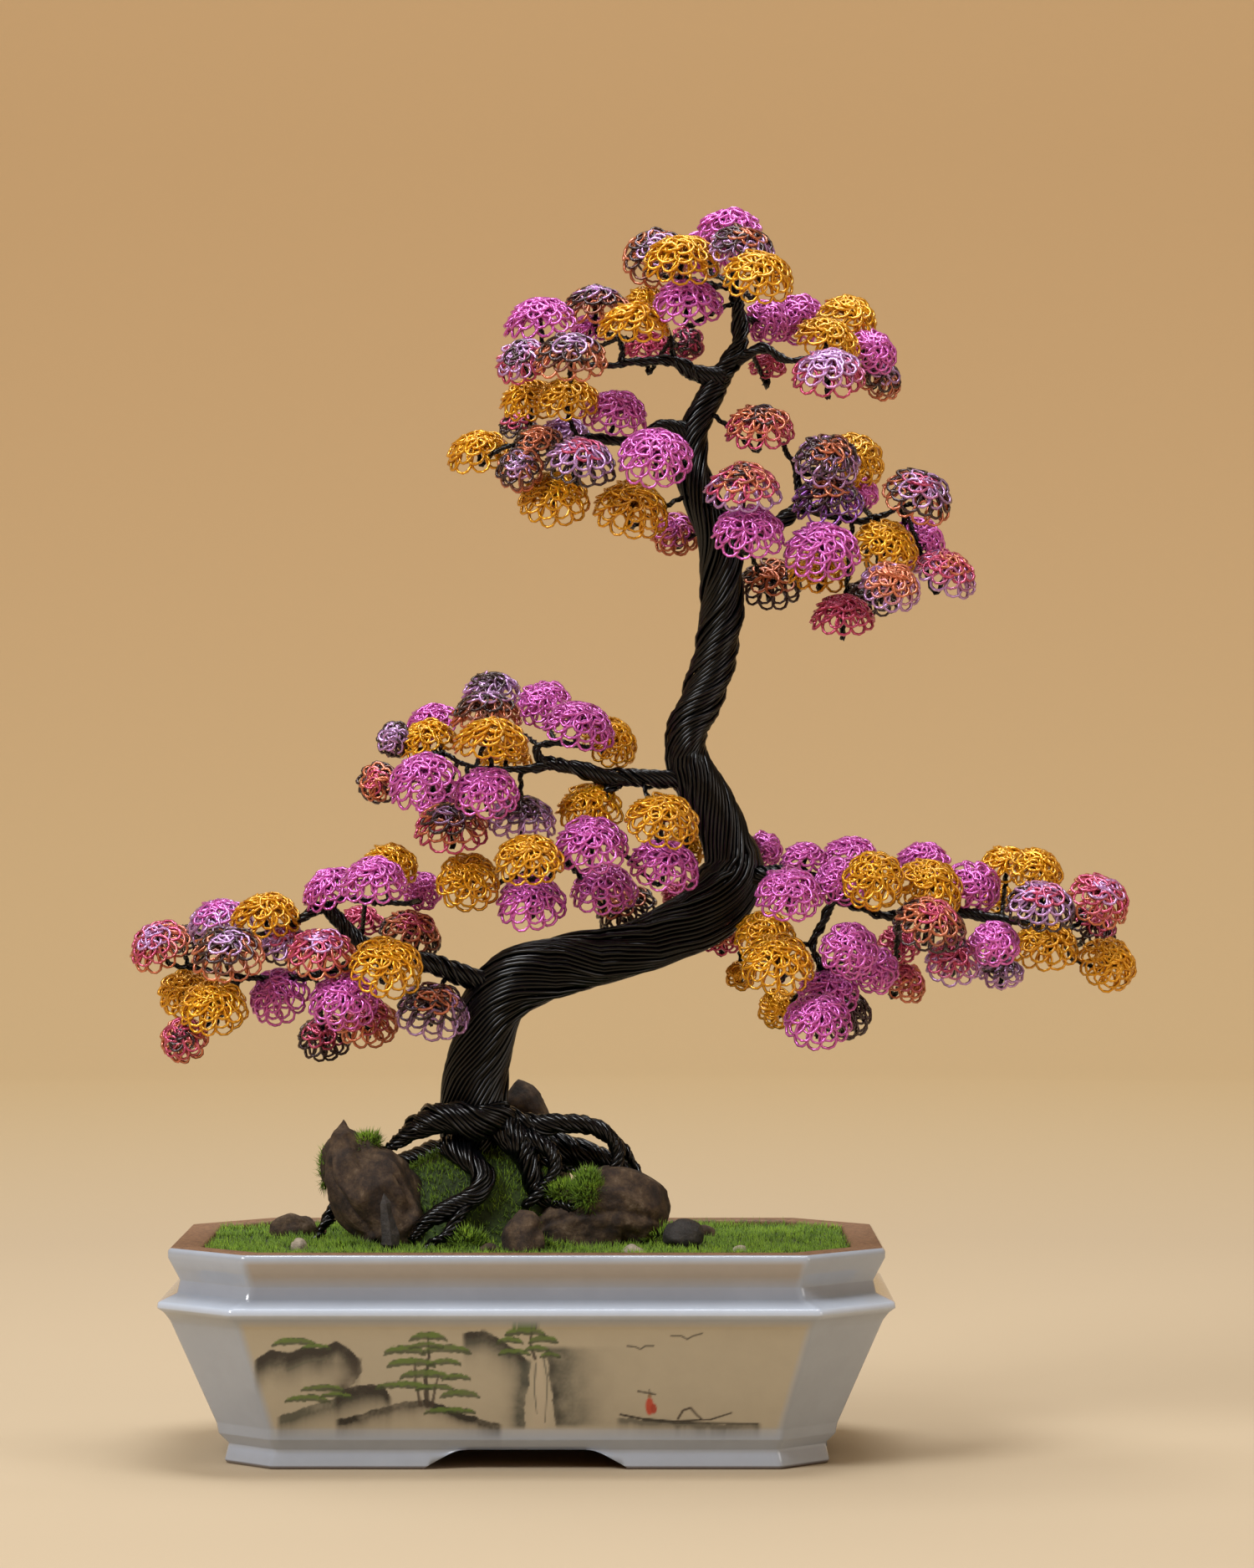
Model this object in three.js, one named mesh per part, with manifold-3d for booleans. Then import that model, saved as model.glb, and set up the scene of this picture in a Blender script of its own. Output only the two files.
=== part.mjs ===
// Wire tree sculpture: a bonsai of twisted black wire with pads of coloured wire loops,
// in a glazed octagonal pot with moss and rocks. Millimetres, +Z up.
// The origin is the middle of the whole work's footprint, on the table under the pot.
import * as THREE from 'three';
import { mergeVertices } from 'three/addons/utils/BufferGeometryUtils.js';
import Module from 'manifold-3d';

const wasm = await Module();
wasm.setup();

// Pot, in millimetres: widths are across X, and the depth is less by a fixed amount.
const potHeight = 79.5;
const potDepthLess = 103.5;
const rimWidth = 261.5;
const rimFlat = 12;
const bodyTopWidth = 259.6;
const bodyFootWidth = 227;
const footWidth = 220;
const footBandHeight = 7.1;
const cavityFloor = 15;
const soilBelowRim = 2;
const footArchTop = 24;
const footArchTable = 35.5;
const sideArchTop = 12;
const sideArchTable = 20;

// Every two pieces that touch keep this gap.
const gap = 0.35;

// The eye that the readings below were taken with: a level view along +Y.
// Readings are pixels of a frame 1500 wide and 1875 high; depth is millimetres, + away.
const eye = { across: 36.6, height: 248.4, distance: 1877, focalPixels: 6000, middleX: 750, middleY: 937 };
const scaleAt = (depth) => (eye.distance + depth) / eye.focalPixels;
const place = (px, py, depth) => new THREE.Vector3(
  eye.across + (px - eye.middleX) * scaleAt(depth),
  depth,
  eye.height + (eye.middleY - py) * scaleAt(depth),
);

// One reading on a rope or rock: pixel, width in pixels, depth in millimetres.
const at = (px, py, width, depth) => ({
  spot: place(px, py, depth),
  radius: (width * scaleAt(depth)) / 2,
});

// Depths of the foliage pads, in millimetres from the middle of the pot.
const FRONT = -34;
const NEAR = -12;
const MID = 2;
const BACK = 22;
const REAR = 50;

// Wire colours of the foliage pads.
const GOLD = { color: 0xd69614, roughness: 0.35, metalness: 0.6 };
const ORCHID = { color: 0xbe50b9, roughness: 0.35, metalness: 0.5 };
const MIXED = { color: 0x9a6a78, roughness: 0.35, metalness: 0.5 };

// One domed pad: pixel of its middle, half width and half height in pixels, lean to the
// right in degrees, depth in millimetres.
const pad = (px, py, halfWidth, halfHeight, lean, depth) => ({ px, py, halfWidth, halfHeight, lean, depth });

const trunkReadings = [
  at(575, 1440, 66, 6), at(570, 1390, 80, 6), at(568, 1340, 88, 4), at(569, 1280, 80, 3),
  at(578, 1238, 79, 2), at(590, 1203, 80, 1), at(614, 1174, 80, 0), at(650, 1159, 80, 0),
  at(690, 1149, 74, 0), at(730, 1142, 68, 0), at(770, 1131, 68, 1), at(805, 1113, 74, 3),
  at(838, 1095, 80, 4), at(865, 1068, 82, 5), at(878, 1035, 76, 5), at(868, 1000, 62, 4),
  at(850, 962, 60, 2), at(832, 930, 60, 0), at(820, 900, 52, -1), at(823, 872, 53, -1),
  at(835, 845, 54, 0), at(848, 812, 54, 1), at(856, 780, 54, 2), at(862, 740, 56, 3),
  at(864, 700, 55, 3), at(863, 662, 55, 3), at(855, 630, 53, 2), at(840, 598, 48, 1),
  at(828, 560, 43, 0), at(828, 525, 38, 0), at(838, 495, 36, 1), at(852, 468, 35, 2),
  at(868, 442, 30, 3), at(883, 415, 24, 3), at(885, 385, 22, 3), at(880, 345, 17, 2),
];

const rootReadings = {
  collar: [at(605, 1335, 44, -6), at(575, 1342, 44, -15), at(530, 1336, 42, -15), at(500, 1346, 34, -11),
    at(480, 1362, 24, -9), at(455, 1378, 12, -8)],
  right: [at(590, 1335, 40, -4), at(640, 1345, 32, -8), at(680, 1343, 28, -9), at(716, 1349, 25, -9),
    at(737, 1370, 22, -9), at(737, 1392, 19, -10), at(724, 1415, 14, -12)],
  outerRight: [at(716, 1349, 22, -8), at(740, 1368, 18, -6), at(757, 1388, 14, -5), at(769, 1414, 10, -6)],
  middle: [at(600, 1345, 50, -8), at(622, 1368, 42, -12), at(634, 1395, 32, -14), at(640, 1425, 24, -16)],
  arch: [at(630, 1358, 26, -12), at(660, 1378, 22, -16), at(664, 1398, 20, -17), at(650, 1420, 18, -18),
    at(628, 1444, 14, -20)],
  frontLeft: [at(540, 1366, 40, -8), at(562, 1386, 34, -17), at(580, 1406, 32, -22), at(573, 1426, 32, -25),
    at(543, 1441, 30, -28), at(512, 1460, 24, -31), at(490, 1482, 16, -33)],
  smallFront: [at(560, 1432, 22, -26), at(540, 1470, 16, -35), at(506, 1494, 10, -39)],
  farLeft: [at(545, 1370, 34, 10), at(480, 1392, 30, 17), at(425, 1420, 26, 15), at(396, 1452, 20, 6),
    at(374, 1488, 12, -2)],
  thin: [at(636, 1385, 14, -12), at(672, 1396, 10, -13), at(712, 1406, 8, -15)],
  dark: [at(610, 1415, 26, -8), at(655, 1434, 22, -16), at(690, 1447, 14, -22)],
  behindArch: [at(600, 1352, 50, 8), at(652, 1372, 46, 8), at(704, 1382, 36, 7), at(742, 1392, 24, 5),
    at(764, 1412, 14, 3)],
  backLeft: [at(560, 1380, 44, 12), at(530, 1420, 34, 30), at(500, 1475, 18, 46)],
  backRight: [at(590, 1400, 40, 12), at(620, 1425, 30, 32), at(660, 1480, 16, 44)],
};

const branchReadings = {
  branch_crown_right: [[at(880, 430, 20, 3), at(915, 416, 16, 0), at(940, 430, 14, -2),
    at(965, 428, 11, -3),
    at(1000, 420, 8, -4), at(1030, 412, 6, -4)]],
  branch_crown_left: [[at(866, 452, 28, 2), at(832, 446, 24, 0), at(808, 432, 18, -1), at(780, 431, 15, -2),
    at(745, 434, 14, -3), at(725, 437, 12, -3), at(690, 432, 9, -4), at(650, 425, 7, -4)],
  [at(808, 432, 12, -1), at(800, 395, 8, -1)], [at(745, 434, 10, -3), at(742, 402, 7, -3)]],
  branch_upper_left: [[at(835, 522, 28, 0), at(795, 510, 22, -3), at(765, 522, 18, -5),
    at(735, 527, 16, -6),
    at(705, 522, 14, -6), at(670, 530, 10, -7), at(620, 530, 8, -8), at(590, 540, 6, -8)]],
  branch_upper_right: [[at(858, 656, 30, 2), at(900, 640, 24, -1), at(930, 625, 22, -3),
    at(955, 608, 20, -4),
    at(985, 612, 14, -5), at(1020, 622, 12, -6), at(1050, 618, 10, -6), at(1080, 603, 8, -7)],
  [at(955, 606, 16, -4), at(955, 575, 13, -3), at(947, 550, 9, -2), at(935, 530, 7, -2)]],
  branch_mid_left: [[at(828, 930, 34, 0), at(800, 930, 28, -3), at(760, 931, 26, -7), at(720, 927, 24, -9),
    at(690, 918, 21, -10), at(660, 914, 18, -10), at(630, 919, 14, -11), at(600, 919, 12, -12),
    at(560, 915, 9, -12), at(530, 900, 7, -12)],
  [at(665, 914, 17, -10), at(645, 905, 15, -11), at(643, 894, 13, -11), at(668, 888, 12, -9),
    at(700, 893, 9, -8)],
  [at(745, 930, 20, -8), at(722, 948, 15, -9), at(700, 990, 10, -10), at(668, 1030, 8, -10)]],
  branch_low_left: [[at(600, 1182, 40, 0), at(578, 1172, 30, -3), at(545, 1164, 28, -6),
    at(515, 1152, 26, -8),
    at(485, 1142, 24, -9), at(450, 1135, 22, -10), at(425, 1122, 22, -10), at(405, 1100, 20, -11),
    at(388, 1084, 19, -11), at(370, 1092, 16, -12), at(350, 1103, 12, -12), at(300, 1120, 9, -13)],
  [at(392, 1085, 15, -11), at(408, 1073, 12, -9), at(440, 1077, 11, -8), at(490, 1080, 8, -8)],
  [at(455, 1137, 16, -10), at(380, 1165, 12, -13), at(330, 1170, 10, -14), at(290, 1168, 9, -14)]],
  branch_low_right: [[at(885, 1050, 34, 4), at(915, 1045, 24, 0), at(945, 1041, 20, -3),
    at(975, 1050, 18, -5),
    at(1000, 1070, 18, -6), at(1030, 1085, 15, -7), at(1070, 1095, 14, -8), at(1110, 1092, 15, -9),
    at(1150, 1091, 17, -9), at(1190, 1098, 17, -10), at(1220, 1102, 14, -10), at(1260, 1112, 10, -11),
    at(1285, 1148, 8, -12)],
  [at(998, 1068, 15, -6), at(986, 1100, 14, -8), at(972, 1128, 13, -9), at(982, 1155, 10, -10)]],
};

// Rocks and stones as lumpy stacks of readings from top to bottom or end to end.
const rockReadings = {
  rock_left_horned: { color: 0x60483a, rows: [at(411, 1338, 14, -6), at(412, 1356, 40, -6),
    at(421, 1388, 70, -8), at(444, 1424, 94, -10), at(472, 1462, 78, -12), at(484, 1500, 56, -14)] },
  rock_right: { color: 0x5c4638, rows: [at(640, 1486, 34, -12), at(672, 1468, 64, -12),
    at(712, 1452, 86, -12),
    at(748, 1446, 84, -12), at(776, 1462, 60, -12), at(792, 1476, 24, -12)] },
  rock_back_tall: { color: 0x6a5444, rows: [at(620, 1290, 16, 30), at(624, 1312, 40, 31),
    at(628, 1350, 62, 32),
    at(632, 1410, 88, 34), at(636, 1500, 100, 36)] },
  stone_front: { color: 0x6e5c4b, rows: [at(622, 1446, 12, -44), at(626, 1460, 34, -44),
    at(628, 1482, 50, -44),
    at(630, 1500, 50, -44)] },
  shard_slate: { color: 0x373434, rows: [at(459, 1426, 6, -42), at(463, 1450, 16, -42),
    at(466, 1478, 24, -42),
    at(466, 1500, 24, -42)] },
  stone_flat_left: { color: 0x5b4c40, rows: [at(322, 1474, 14, 12), at(340, 1470, 30, 12),
    at(362, 1469, 30, 12),
    at(380, 1474, 14, 12)] },
  pebble_left: { color: 0x8a7c6c, rows: [at(348, 1494, 8, -40), at(358, 1492, 19, -40),
    at(368, 1494, 8, -40)] },
  pebble_dark: { color: 0x3c3a38, rows: [at(793, 1484, 16, -30), at(806, 1478, 33, -30),
    at(826, 1478, 33, -30),
    at(841, 1484, 16, -30)] },
  pebble_light_right: { color: 0xa89a86, rows: [at(876, 1497, 6, -42), at(885, 1495, 14, -42),
    at(894, 1497, 6, -42)] },
  stone_flat_right: { color: 0x5e5248, rows: [at(828, 1475, 9, 16), at(842, 1473, 15, 16),
    at(856, 1475, 9, 16)] },
  stone_brown_small: { color: 0x6b4f3a, rows: [at(574, 1497, 8, -46), at(585, 1494, 16, -46),
    at(598, 1497, 10, -46)] },
};

// Sprays of foliage pads: what carries the spray, its commonest wire, and its pads.
const sprays = {
  spray_crown_top: { on: 'trunk', wire: ORCHID, pads: [pad(873, 268, 42, 17, 0, MID),
    pad(888, 297, 42, 25, 15, NEAR), pad(785, 308, 42, 37, 0, BACK), pad(815, 311, 50, 29, 0, NEAR),
    pad(850, 300, 38, 26, 0, REAR)] },
  spray_crown_middle: { on: 'trunk', wire: ORCHID, pads: [pad(822, 362, 45, 27, 0, NEAR),
    pad(907, 332, 45, 32, 10, FRONT), pad(918, 385, 28, 35, 0, BACK), pad(955, 380, 33, 42, 10, BACK)] },
  spray_crown_right_upper: { on: 'branch_crown_right', wire: GOLD, pads: [pad(1015, 378, 38, 25, 20, MID),
    pad(990, 408, 42, 24, 25, NEAR), pad(1045, 418, 30, 24, 35, NEAR),
    pad(1052, 452, 28, 22, 40, MID)] },
  spray_crown_right_lower: { on: 'branch_crown_right', wire: MIXED, pads: [pad(990, 448, 46, 28, 0, FRONT)] },
  spray_crown_left_upper: { on: 'branch_crown_left', wire: ORCHID, pads: [pad(645, 382, 45, 21, -10, MID),
    pad(712, 360, 42, 20, 0, MID), pad(758, 386, 45, 21, 0, NEAR)] },
  spray_crown_left_lower: { on: 'branch_crown_left', wire: MIXED, pads: [pad(682, 427, 46, 28, 0, FRONT),
    pad(625, 433, 33, 25, -25, NEAR), pad(775, 412, 32, 12, 0, BACK)] },
  spray_upper_left_top: { on: 'branch_upper_left', wire: GOLD, pads: [pad(632, 478, 35, 25, -10, MID),
    pad(680, 477, 38, 24, 0, NEAR), pad(735, 493, 42, 25, 10, NEAR)] },
  spray_upper_left_tip: { on: 'branch_upper_left', wire: MIXED, pads: [pad(572, 540, 40, 22, -10, MID),
    pad(622, 563, 28, 30, -15, NEAR), pad(645, 530, 32, 20, 0, NEAR)] },
  spray_upper_left_middle: { on: 'branch_upper_left', wire: MIXED, pads: [pad(675, 515, 33, 14, 0, MID),
    pad(695, 552, 44, 28, 10, FRONT), pad(663, 596, 44, 33, 0, NEAR)] },
  spray_upper_left_inner: { on: 'trunk', wire: GOLD, pads: [pad(784, 547, 47, 36, 0, FRONT),
    pad(755, 609, 48, 35, 10, NEAR), pad(808, 638, 30, 26, 0, BACK)] },
  spray_upper_right_crown: { on: 'trunk', wire: MIXED, pads: [pad(908, 511, 43, 25, 0, NEAR)] },
  spray_upper_right_inner: { on: 'trunk', wire: MIXED, pads: [pad(888, 583, 48, 28, 0, FRONT),
    pad(895, 636, 45, 32, 0, FRONT)] },
  spray_upper_right_top: { on: 'branch_upper_right', wire: MIXED, pads: [pad(1022, 552, 38, 38, 45, BACK),
    pad(990, 550, 42, 32, 10, NEAR), pad(990, 598, 45, 28, 0, NEAR)] },
  spray_upper_right_front: { on: 'branch_upper_right', wire: ORCHID, pads: [pad(983, 659, 48, 36, 0, FRONT),
    pad(980, 682, 40, 24, 0, MID), pad(1008, 735, 40, 22, 0, NEAR), pad(1040, 715, 35, 22, 0, BACK),
    pad(922, 698, 38, 30, 0, BACK)] },
  spray_upper_right_tip: { on: 'branch_upper_right', wire: ORCHID, pads: [pad(1060, 655, 41, 33, 25, NEAR),
    pad(1098, 593, 45, 31, 25, NEAR), pad(1098, 648, 34, 33, 35, MID)] },
  spray_upper_right_low: { on: 'branch_upper_right', wire: MIXED, pads: [pad(1132, 684, 40, 24, 25, NEAR),
    pad(1065, 700, 38, 28, 20, FRONT)] },
  spray_mid_left_top: { on: 'branch_mid_left', wire: ORCHID, pads: [pad(588, 825, 36, 20, 0, BACK),
    pad(582, 849, 45, 17, 0, MID), pad(652, 842, 34, 27, 0, BACK), pad(693, 867, 45, 26, 15, NEAR),
    pad(730, 886, 36, 26, 35, MID)] },
  spray_mid_left_tip_upper: { on: 'branch_mid_left', wire: ORCHID, pads: [pad(515, 865, 34, 20, -25, BACK),
    pad(472, 884, 20, 20, -50, MID), pad(510, 884, 36, 20, -15, MID),
    pad(452, 935, 24, 33, -55, BACK)] },
  spray_mid_left_tip_lower: { on: 'branch_mid_left', wire: ORCHID, pads: [pad(505, 932, 46, 30, -20, FRONT)] },
  spray_mid_left_middle: { on: 'branch_mid_left', wire: GOLD, pads: [pad(587, 882, 47, 19, 0, FRONT),
    pad(582, 947, 41, 30, 0, FRONT)] },
  spray_mid_left_under: { on: 'branch_mid_left', wire: MIXED, pads: [pad(525, 958, 28, 25, 0, BACK),
    pad(540, 988, 46, 28, 0, NEAR), pad(560, 1054, 40, 35, 0, NEAR),
    pad(635, 1078, 44, 32, 0, NEAR)] },
  spray_mid_left_centre: { on: 'branch_mid_left', wire: GOLD, pads: [pad(625, 978, 43, 24, 5, NEAR),
    pad(633, 1027, 43, 28, 0, FRONT)] },
  spray_mid_left_small: { on: 'branch_mid_left', wire: GOLD, pads: [pad(705, 966, 40, 28, 0, NEAR)] },
  spray_mid_left_inner: { on: 'branch_mid_left', wire: ORCHID, pads: [pad(707, 1010, 46, 33, 0, FRONT),
    pad(722, 1062, 42, 28, 0, MID), pad(748, 1085, 38, 24, -25, BACK)] },
  spray_mid_left_trunk: { on: 'branch_mid_left', wire: GOLD, pads: [pad(793, 980, 47, 30, 10, FRONT),
    pad(795, 1034, 45, 29, 15, NEAR)] },
  spray_low_left_top: { on: 'branch_low_left', wire: GOLD, pads: [pad(468, 1032, 34, 21, 15, MID),
    pad(447, 1052, 42, 25, 0, FRONT), pad(393, 1062, 36, 20, -25, NEAR)] },
  spray_low_left_inner: { on: 'branch_low_left', wire: GOLD, pads: [pad(492, 1115, 40, 24, 20, BACK),
    pad(430, 1100, 28, 14, 0, BACK), pad(463, 1155, 46, 35, 15, FRONT), pad(518, 1208, 46, 32, 10, NEAR)] },
  spray_low_left_outer_top: { on: 'branch_low_left', wire: GOLD, pads: [pad(318, 1093, 44, 22, 0, NEAR),
    pad(262, 1100, 42, 22, -10, MID)] },
  spray_low_left_tip: { on: 'branch_low_left', wire: GOLD, pads: [pad(190, 1130, 38, 26, -25, NEAR),
    pad(222, 1187, 34, 29, -15, MID), pad(256, 1204, 42, 31, 0, FRONT),
    pad(220, 1242, 28, 26, -30, FRONT)] },
  spray_low_left_middle: { on: 'branch_low_left', wire: MIXED, pads: [pad(272, 1140, 46, 31, 0, FRONT),
    pad(340, 1128, 30, 22, 0, NEAR), pad(333, 1190, 38, 32, -25, NEAR)] },
  spray_low_left_front: { on: 'branch_low_left', wire: ORCHID, pads: [pad(383, 1140, 45, 27, 0, FRONT),
    pad(411, 1196, 43, 33, 0, FRONT), pad(440, 1222, 38, 28, 0, MID), pad(388, 1240, 32, 25, 0, BACK)] },
  spray_low_right_top: { on: 'branch_low_right', wire: ORCHID, pads: [pad(962, 1024, 28, 13, 0, MID),
    pad(1018, 1020, 34, 17, 0, MID), pad(1005, 1052, 32, 28, -10, NEAR)] },
  spray_low_right_inner: { on: 'branch_low_right', wire: GOLD, pads: [pad(943, 1068, 41, 31, 0, FRONT),
    pad(915, 1118, 38, 28, 0, NEAR), pad(930, 1152, 47, 34, 0, FRONT), pad(862, 1120, 25, 18, 0, BACK)] },
  spray_low_right_hanging: { on: 'branch_low_right', wire: ORCHID, pads: [pad(990, 1186, 38, 25, 0, NEAR),
    pad(978, 1220, 42, 32, 0, FRONT), pad(1010, 1212, 32, 30, 0, MID)] },
  spray_low_right_middle: { on: 'branch_low_right', wire: ORCHID, pads: [pad(1045, 1052, 38, 42, 0, FRONT),
    pad(1015, 1135, 36, 33, 0, FRONT), pad(1045, 1158, 30, 32, 30, NEAR), pad(1080, 1172, 30, 20, 30, BACK),
    pad(1075, 1128, 25, 20, 0, BACK)] },
  spray_low_right_centre: { on: 'branch_low_right', wire: GOLD, pads: [pad(1110, 1062, 44, 36, 25, NEAR),
    pad(1105, 1026, 34, 15, 0, MID), pad(1163, 1060, 34, 31, 40, MID),
    pad(1112, 1105, 46, 30, 15, FRONT)] },
  spray_low_right_lower: { on: 'branch_low_right', wire: MIXED, pads: [pad(1140, 1148, 36, 27, 0, NEAR),
    pad(1190, 1127, 30, 26, 0, FRONT), pad(1197, 1160, 26, 18, 0, MID)] },
  spray_low_right_outer: { on: 'branch_low_right', wire: GOLD, pads: [pad(1205, 1033, 33, 18, 0, MID),
    pad(1240, 1040, 33, 25, 20, NEAR), pad(1245, 1083, 43, 28, 5, FRONT),
    pad(1250, 1130, 42, 27, 0, NEAR)] },
  spray_low_right_tip: { on: 'branch_low_right', wire: GOLD, pads: [pad(1315, 1075, 40, 28, 25, NEAR),
    pad(1305, 1108, 34, 20, 30, MID), pad(1325, 1152, 36, 30, 35, NEAR)] },
};

// Solid from a geometry: vertices merged by place alone, flat triangles dropped.
function solidOf(geometry) {
  geometry.deleteAttribute('normal');
  geometry.deleteAttribute('uv');
  const merged = mergeVertices(geometry, 1e-4);
  const corners = merged.index.array;
  const kept = [];
  for (let i = 0; i < corners.length; i += 3) {
    const [a, b, c] = [corners[i], corners[i + 1], corners[i + 2]];
    if (a !== b && b !== c && a !== c) kept.push(a, b, c);
  }
  return new wasm.Manifold(new wasm.Mesh({
    numProp: 3,
    vertProperties: new Float32Array(merged.attributes.position.array),
    triVerts: new Uint32Array(kept),
  }));
}

function geometryOf(solid) {
  const { vertProperties, triVerts } = solid.getMesh();
  const geometry = new THREE.BufferGeometry();
  geometry.setAttribute('position', new THREE.BufferAttribute(vertProperties, 3));
  geometry.setIndex(new THREE.BufferAttribute(triVerts, 1));
  geometry.computeVertexNormals();
  return geometry;
}

const joined = (solids) => solids.reduce((whole, next) => whole.add(next));

// The largest body that a cut leaves.
const mainBody = (solid) => solid.decompose().sort((a, b) => b.volume() - a.volume())[0];

// Value of a list of numbers at a fraction of its length.
function along(values, fraction) {
  const where = Math.min(Math.max(fraction, 0), 1) * (values.length - 1);
  const low = Math.min(Math.floor(where), values.length - 2);
  return THREE.MathUtils.lerp(values[low], values[low + 1], where - low);
}

// A cylinder bent along a smooth curve: its radius follows the readings, and lobes
// swell it into strands that wind round it.
function rope(readings, { sides, steps, lobes = 0, lobeDepth = 0, turns = 0, grow = 0 }) {
  const curve = new THREE.CatmullRomCurve3(readings.map((reading) => reading.spot));
  const radii = readings.map((reading) => reading.radius);
  const frames = curve.computeFrenetFrames(steps, false);
  const geometry = new THREE.CylinderGeometry(1, 1, 1, sides, steps);
  const vertices = geometry.attributes.position;
  for (let i = 0; i < vertices.count; i += 1) {
    const step = Math.round((vertices.getY(i) + 0.5) * steps);
    const fraction = step / steps;
    const angle = Math.atan2(vertices.getX(i), vertices.getZ(i));
    const isRim = Math.hypot(vertices.getX(i), vertices.getZ(i)) > 0.5;
    const swell = 1 + lobeDepth * Math.cos(lobes * angle);
    const radius = isRim ? (along(radii, curve.getUtoTmapping(fraction)) + grow) * swell : 0;
    const wound = angle + turns * 2 * Math.PI * fraction;
    const end = step === 0 ? -grow : step === steps ? grow : 0;
    const spot = curve.getPointAt(fraction)
      .addScaledVector(frames.normals[step], radius * Math.sin(wound))
      .addScaledVector(frames.binormals[step], -radius * Math.cos(wound))
      .addScaledVector(frames.tangents[step], end);
    vertices.setXYZ(i, spot.x, spot.y, spot.z);
  }
  return solidOf(geometry);
}

// Stack of octagons, each a rectangle with cut corners, from the lowest level up.
function octagonStack(levels) {
  const geometry = new THREE.CylinderGeometry(1, 1, 1, 8, levels.length - 1);
  const vertices = geometry.attributes.position;
  for (let i = 0; i < vertices.count; i += 1) {
    const level = levels[Math.round((vertices.getY(i) + 0.5) * (levels.length - 1))];
    const [halfWidth, halfDepth] = [level.width / 2, (level.width - potDepthLess) / 2];
    const isRim = Math.hypot(vertices.getX(i), vertices.getZ(i)) > 0.5;
    const turn = Math.atan2(vertices.getX(i), vertices.getZ(i)) / (Math.PI / 4);
    const corner = (Math.round(turn) + 8) % 8;
    const outline = [
      [halfWidth - level.cut, -halfDepth], [halfWidth, -halfDepth + level.cut],
      [halfWidth, halfDepth - level.cut], [halfWidth - level.cut, halfDepth],
      [-halfWidth + level.cut, halfDepth], [-halfWidth, halfDepth - level.cut],
      [-halfWidth, -halfDepth + level.cut], [-halfWidth + level.cut, -halfDepth],
    ];
    const [x, y] = isRim ? outline[corner] : [0, 0];
    vertices.setXYZ(i, x, y, level.z);
  }
  return solidOf(geometry);
}

// Arch between two feet: flat on top, its ends curving out to the table.
function footArch(halfTop, halfTable, length) {
  const shape = new THREE.Shape();
  shape.moveTo(-halfTable, -2);
  shape.lineTo(-halfTable, 0.8);
  shape.quadraticCurveTo(-halfTable + 1.5, footBandHeight - 0.6, -halfTop, footBandHeight);
  shape.lineTo(halfTop, footBandHeight);
  shape.quadraticCurveTo(halfTable - 1.5, footBandHeight - 0.6, halfTable, 0.8);
  shape.lineTo(halfTable, -2);
  const geometry = new THREE.ExtrudeGeometry(shape, { depth: length, bevelEnabled: false, curveSegments: 4 });
  geometry.translate(0, 0, -length / 2);
  return geometry.rotateX(Math.PI / 2);
}

const cavityLevels = (inset, top) => [
  { z: cavityFloor + inset, width: 209, cut: 13 },
  { z: 50, width: 240, cut: 20 },
  { z: 62, width: rimWidth - 2 * rimFlat, cut: 22 },
  { z: top, width: rimWidth - 2 * rimFlat, cut: 22 },
].map((level) => ({ ...level, width: level.width - 2 * inset, cut: level.cut - 0.6 * inset }));

function buildPot() {
  const outside = octagonStack([
    { z: 0, width: footWidth, cut: 18 },
    { z: 1.3, width: footWidth + 1.5, cut: 18 },
    { z: footBandHeight, width: footWidth - 1.3, cut: 18 },
    { z: 9, width: footWidth + 2, cut: 19 },
    { z: 10.9, width: bodyFootWidth - 1, cut: 20 },
    { z: 14.2, width: bodyFootWidth, cut: 20.5 },
    { z: 53.2, width: bodyTopWidth, cut: 26.5 },
    { z: 55.9, width: bodyTopWidth + 3.4, cut: 27 },
    { z: 59, width: bodyTopWidth + 9.4, cut: 28 },
    { z: 63, width: bodyTopWidth - 4.6, cut: 27 },
    { z: 67.6, width: bodyTopWidth - 6.6, cut: 27 },
    { z: 76, width: rimWidth + 0.1, cut: 29 },
    { z: potHeight, width: rimWidth, cut: 29 },
  ]);
  const cavity = octagonStack(cavityLevels(0, potHeight + 1));
  const recess = octagonStack([
    { z: -1, width: footWidth - 18, cut: 12.7 },
    { z: footBandHeight + 0.2, width: footWidth - 18, cut: 12.7 },
  ]);
  const frontArch = solidOf(footArch(footArchTop, footArchTable, 2 * footWidth));
  const sideArch = solidOf(footArch(sideArchTop, sideArchTable, 2 * footWidth).rotateZ(Math.PI / 2));
  return outside.subtract(cavity).subtract(recess).subtract(frontArch).subtract(sideArch);
}

// The space over the pot's fill, where roots and rocks rest.
const soilTop = potHeight - soilBelowRim;
const aboveSoil = solidOf(new THREE.BoxGeometry(800, 800, 800).translate(0, 0, soilTop + gap + 400));

// The tallest of the moss stands under the trunk, heaped between the rocks.
const heapMiddle = place(575, 1500, 4);
const heapHalf = { x: 38, y: 27, z: 37 };
function mossHeap() {
  const geometry = new THREE.SphereGeometry(1, 10, 6);
  geometry.rotateX(Math.PI / 2);
  geometry.scale(heapHalf.x, heapHalf.y, heapHalf.z);
  geometry.translate(heapMiddle.x, heapMiddle.y, soilTop);
  return solidOf(geometry);
}

function buildGround() {
  const fill = octagonStack(cavityLevels(gap, soilTop));
  const heapOnTop = solidOf(new THREE.BoxGeometry(200, 200, 100).translate(0, 0, soilTop - 5 + 50));
  return fill.add(mossHeap().intersect(heapOnTop));
}

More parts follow.
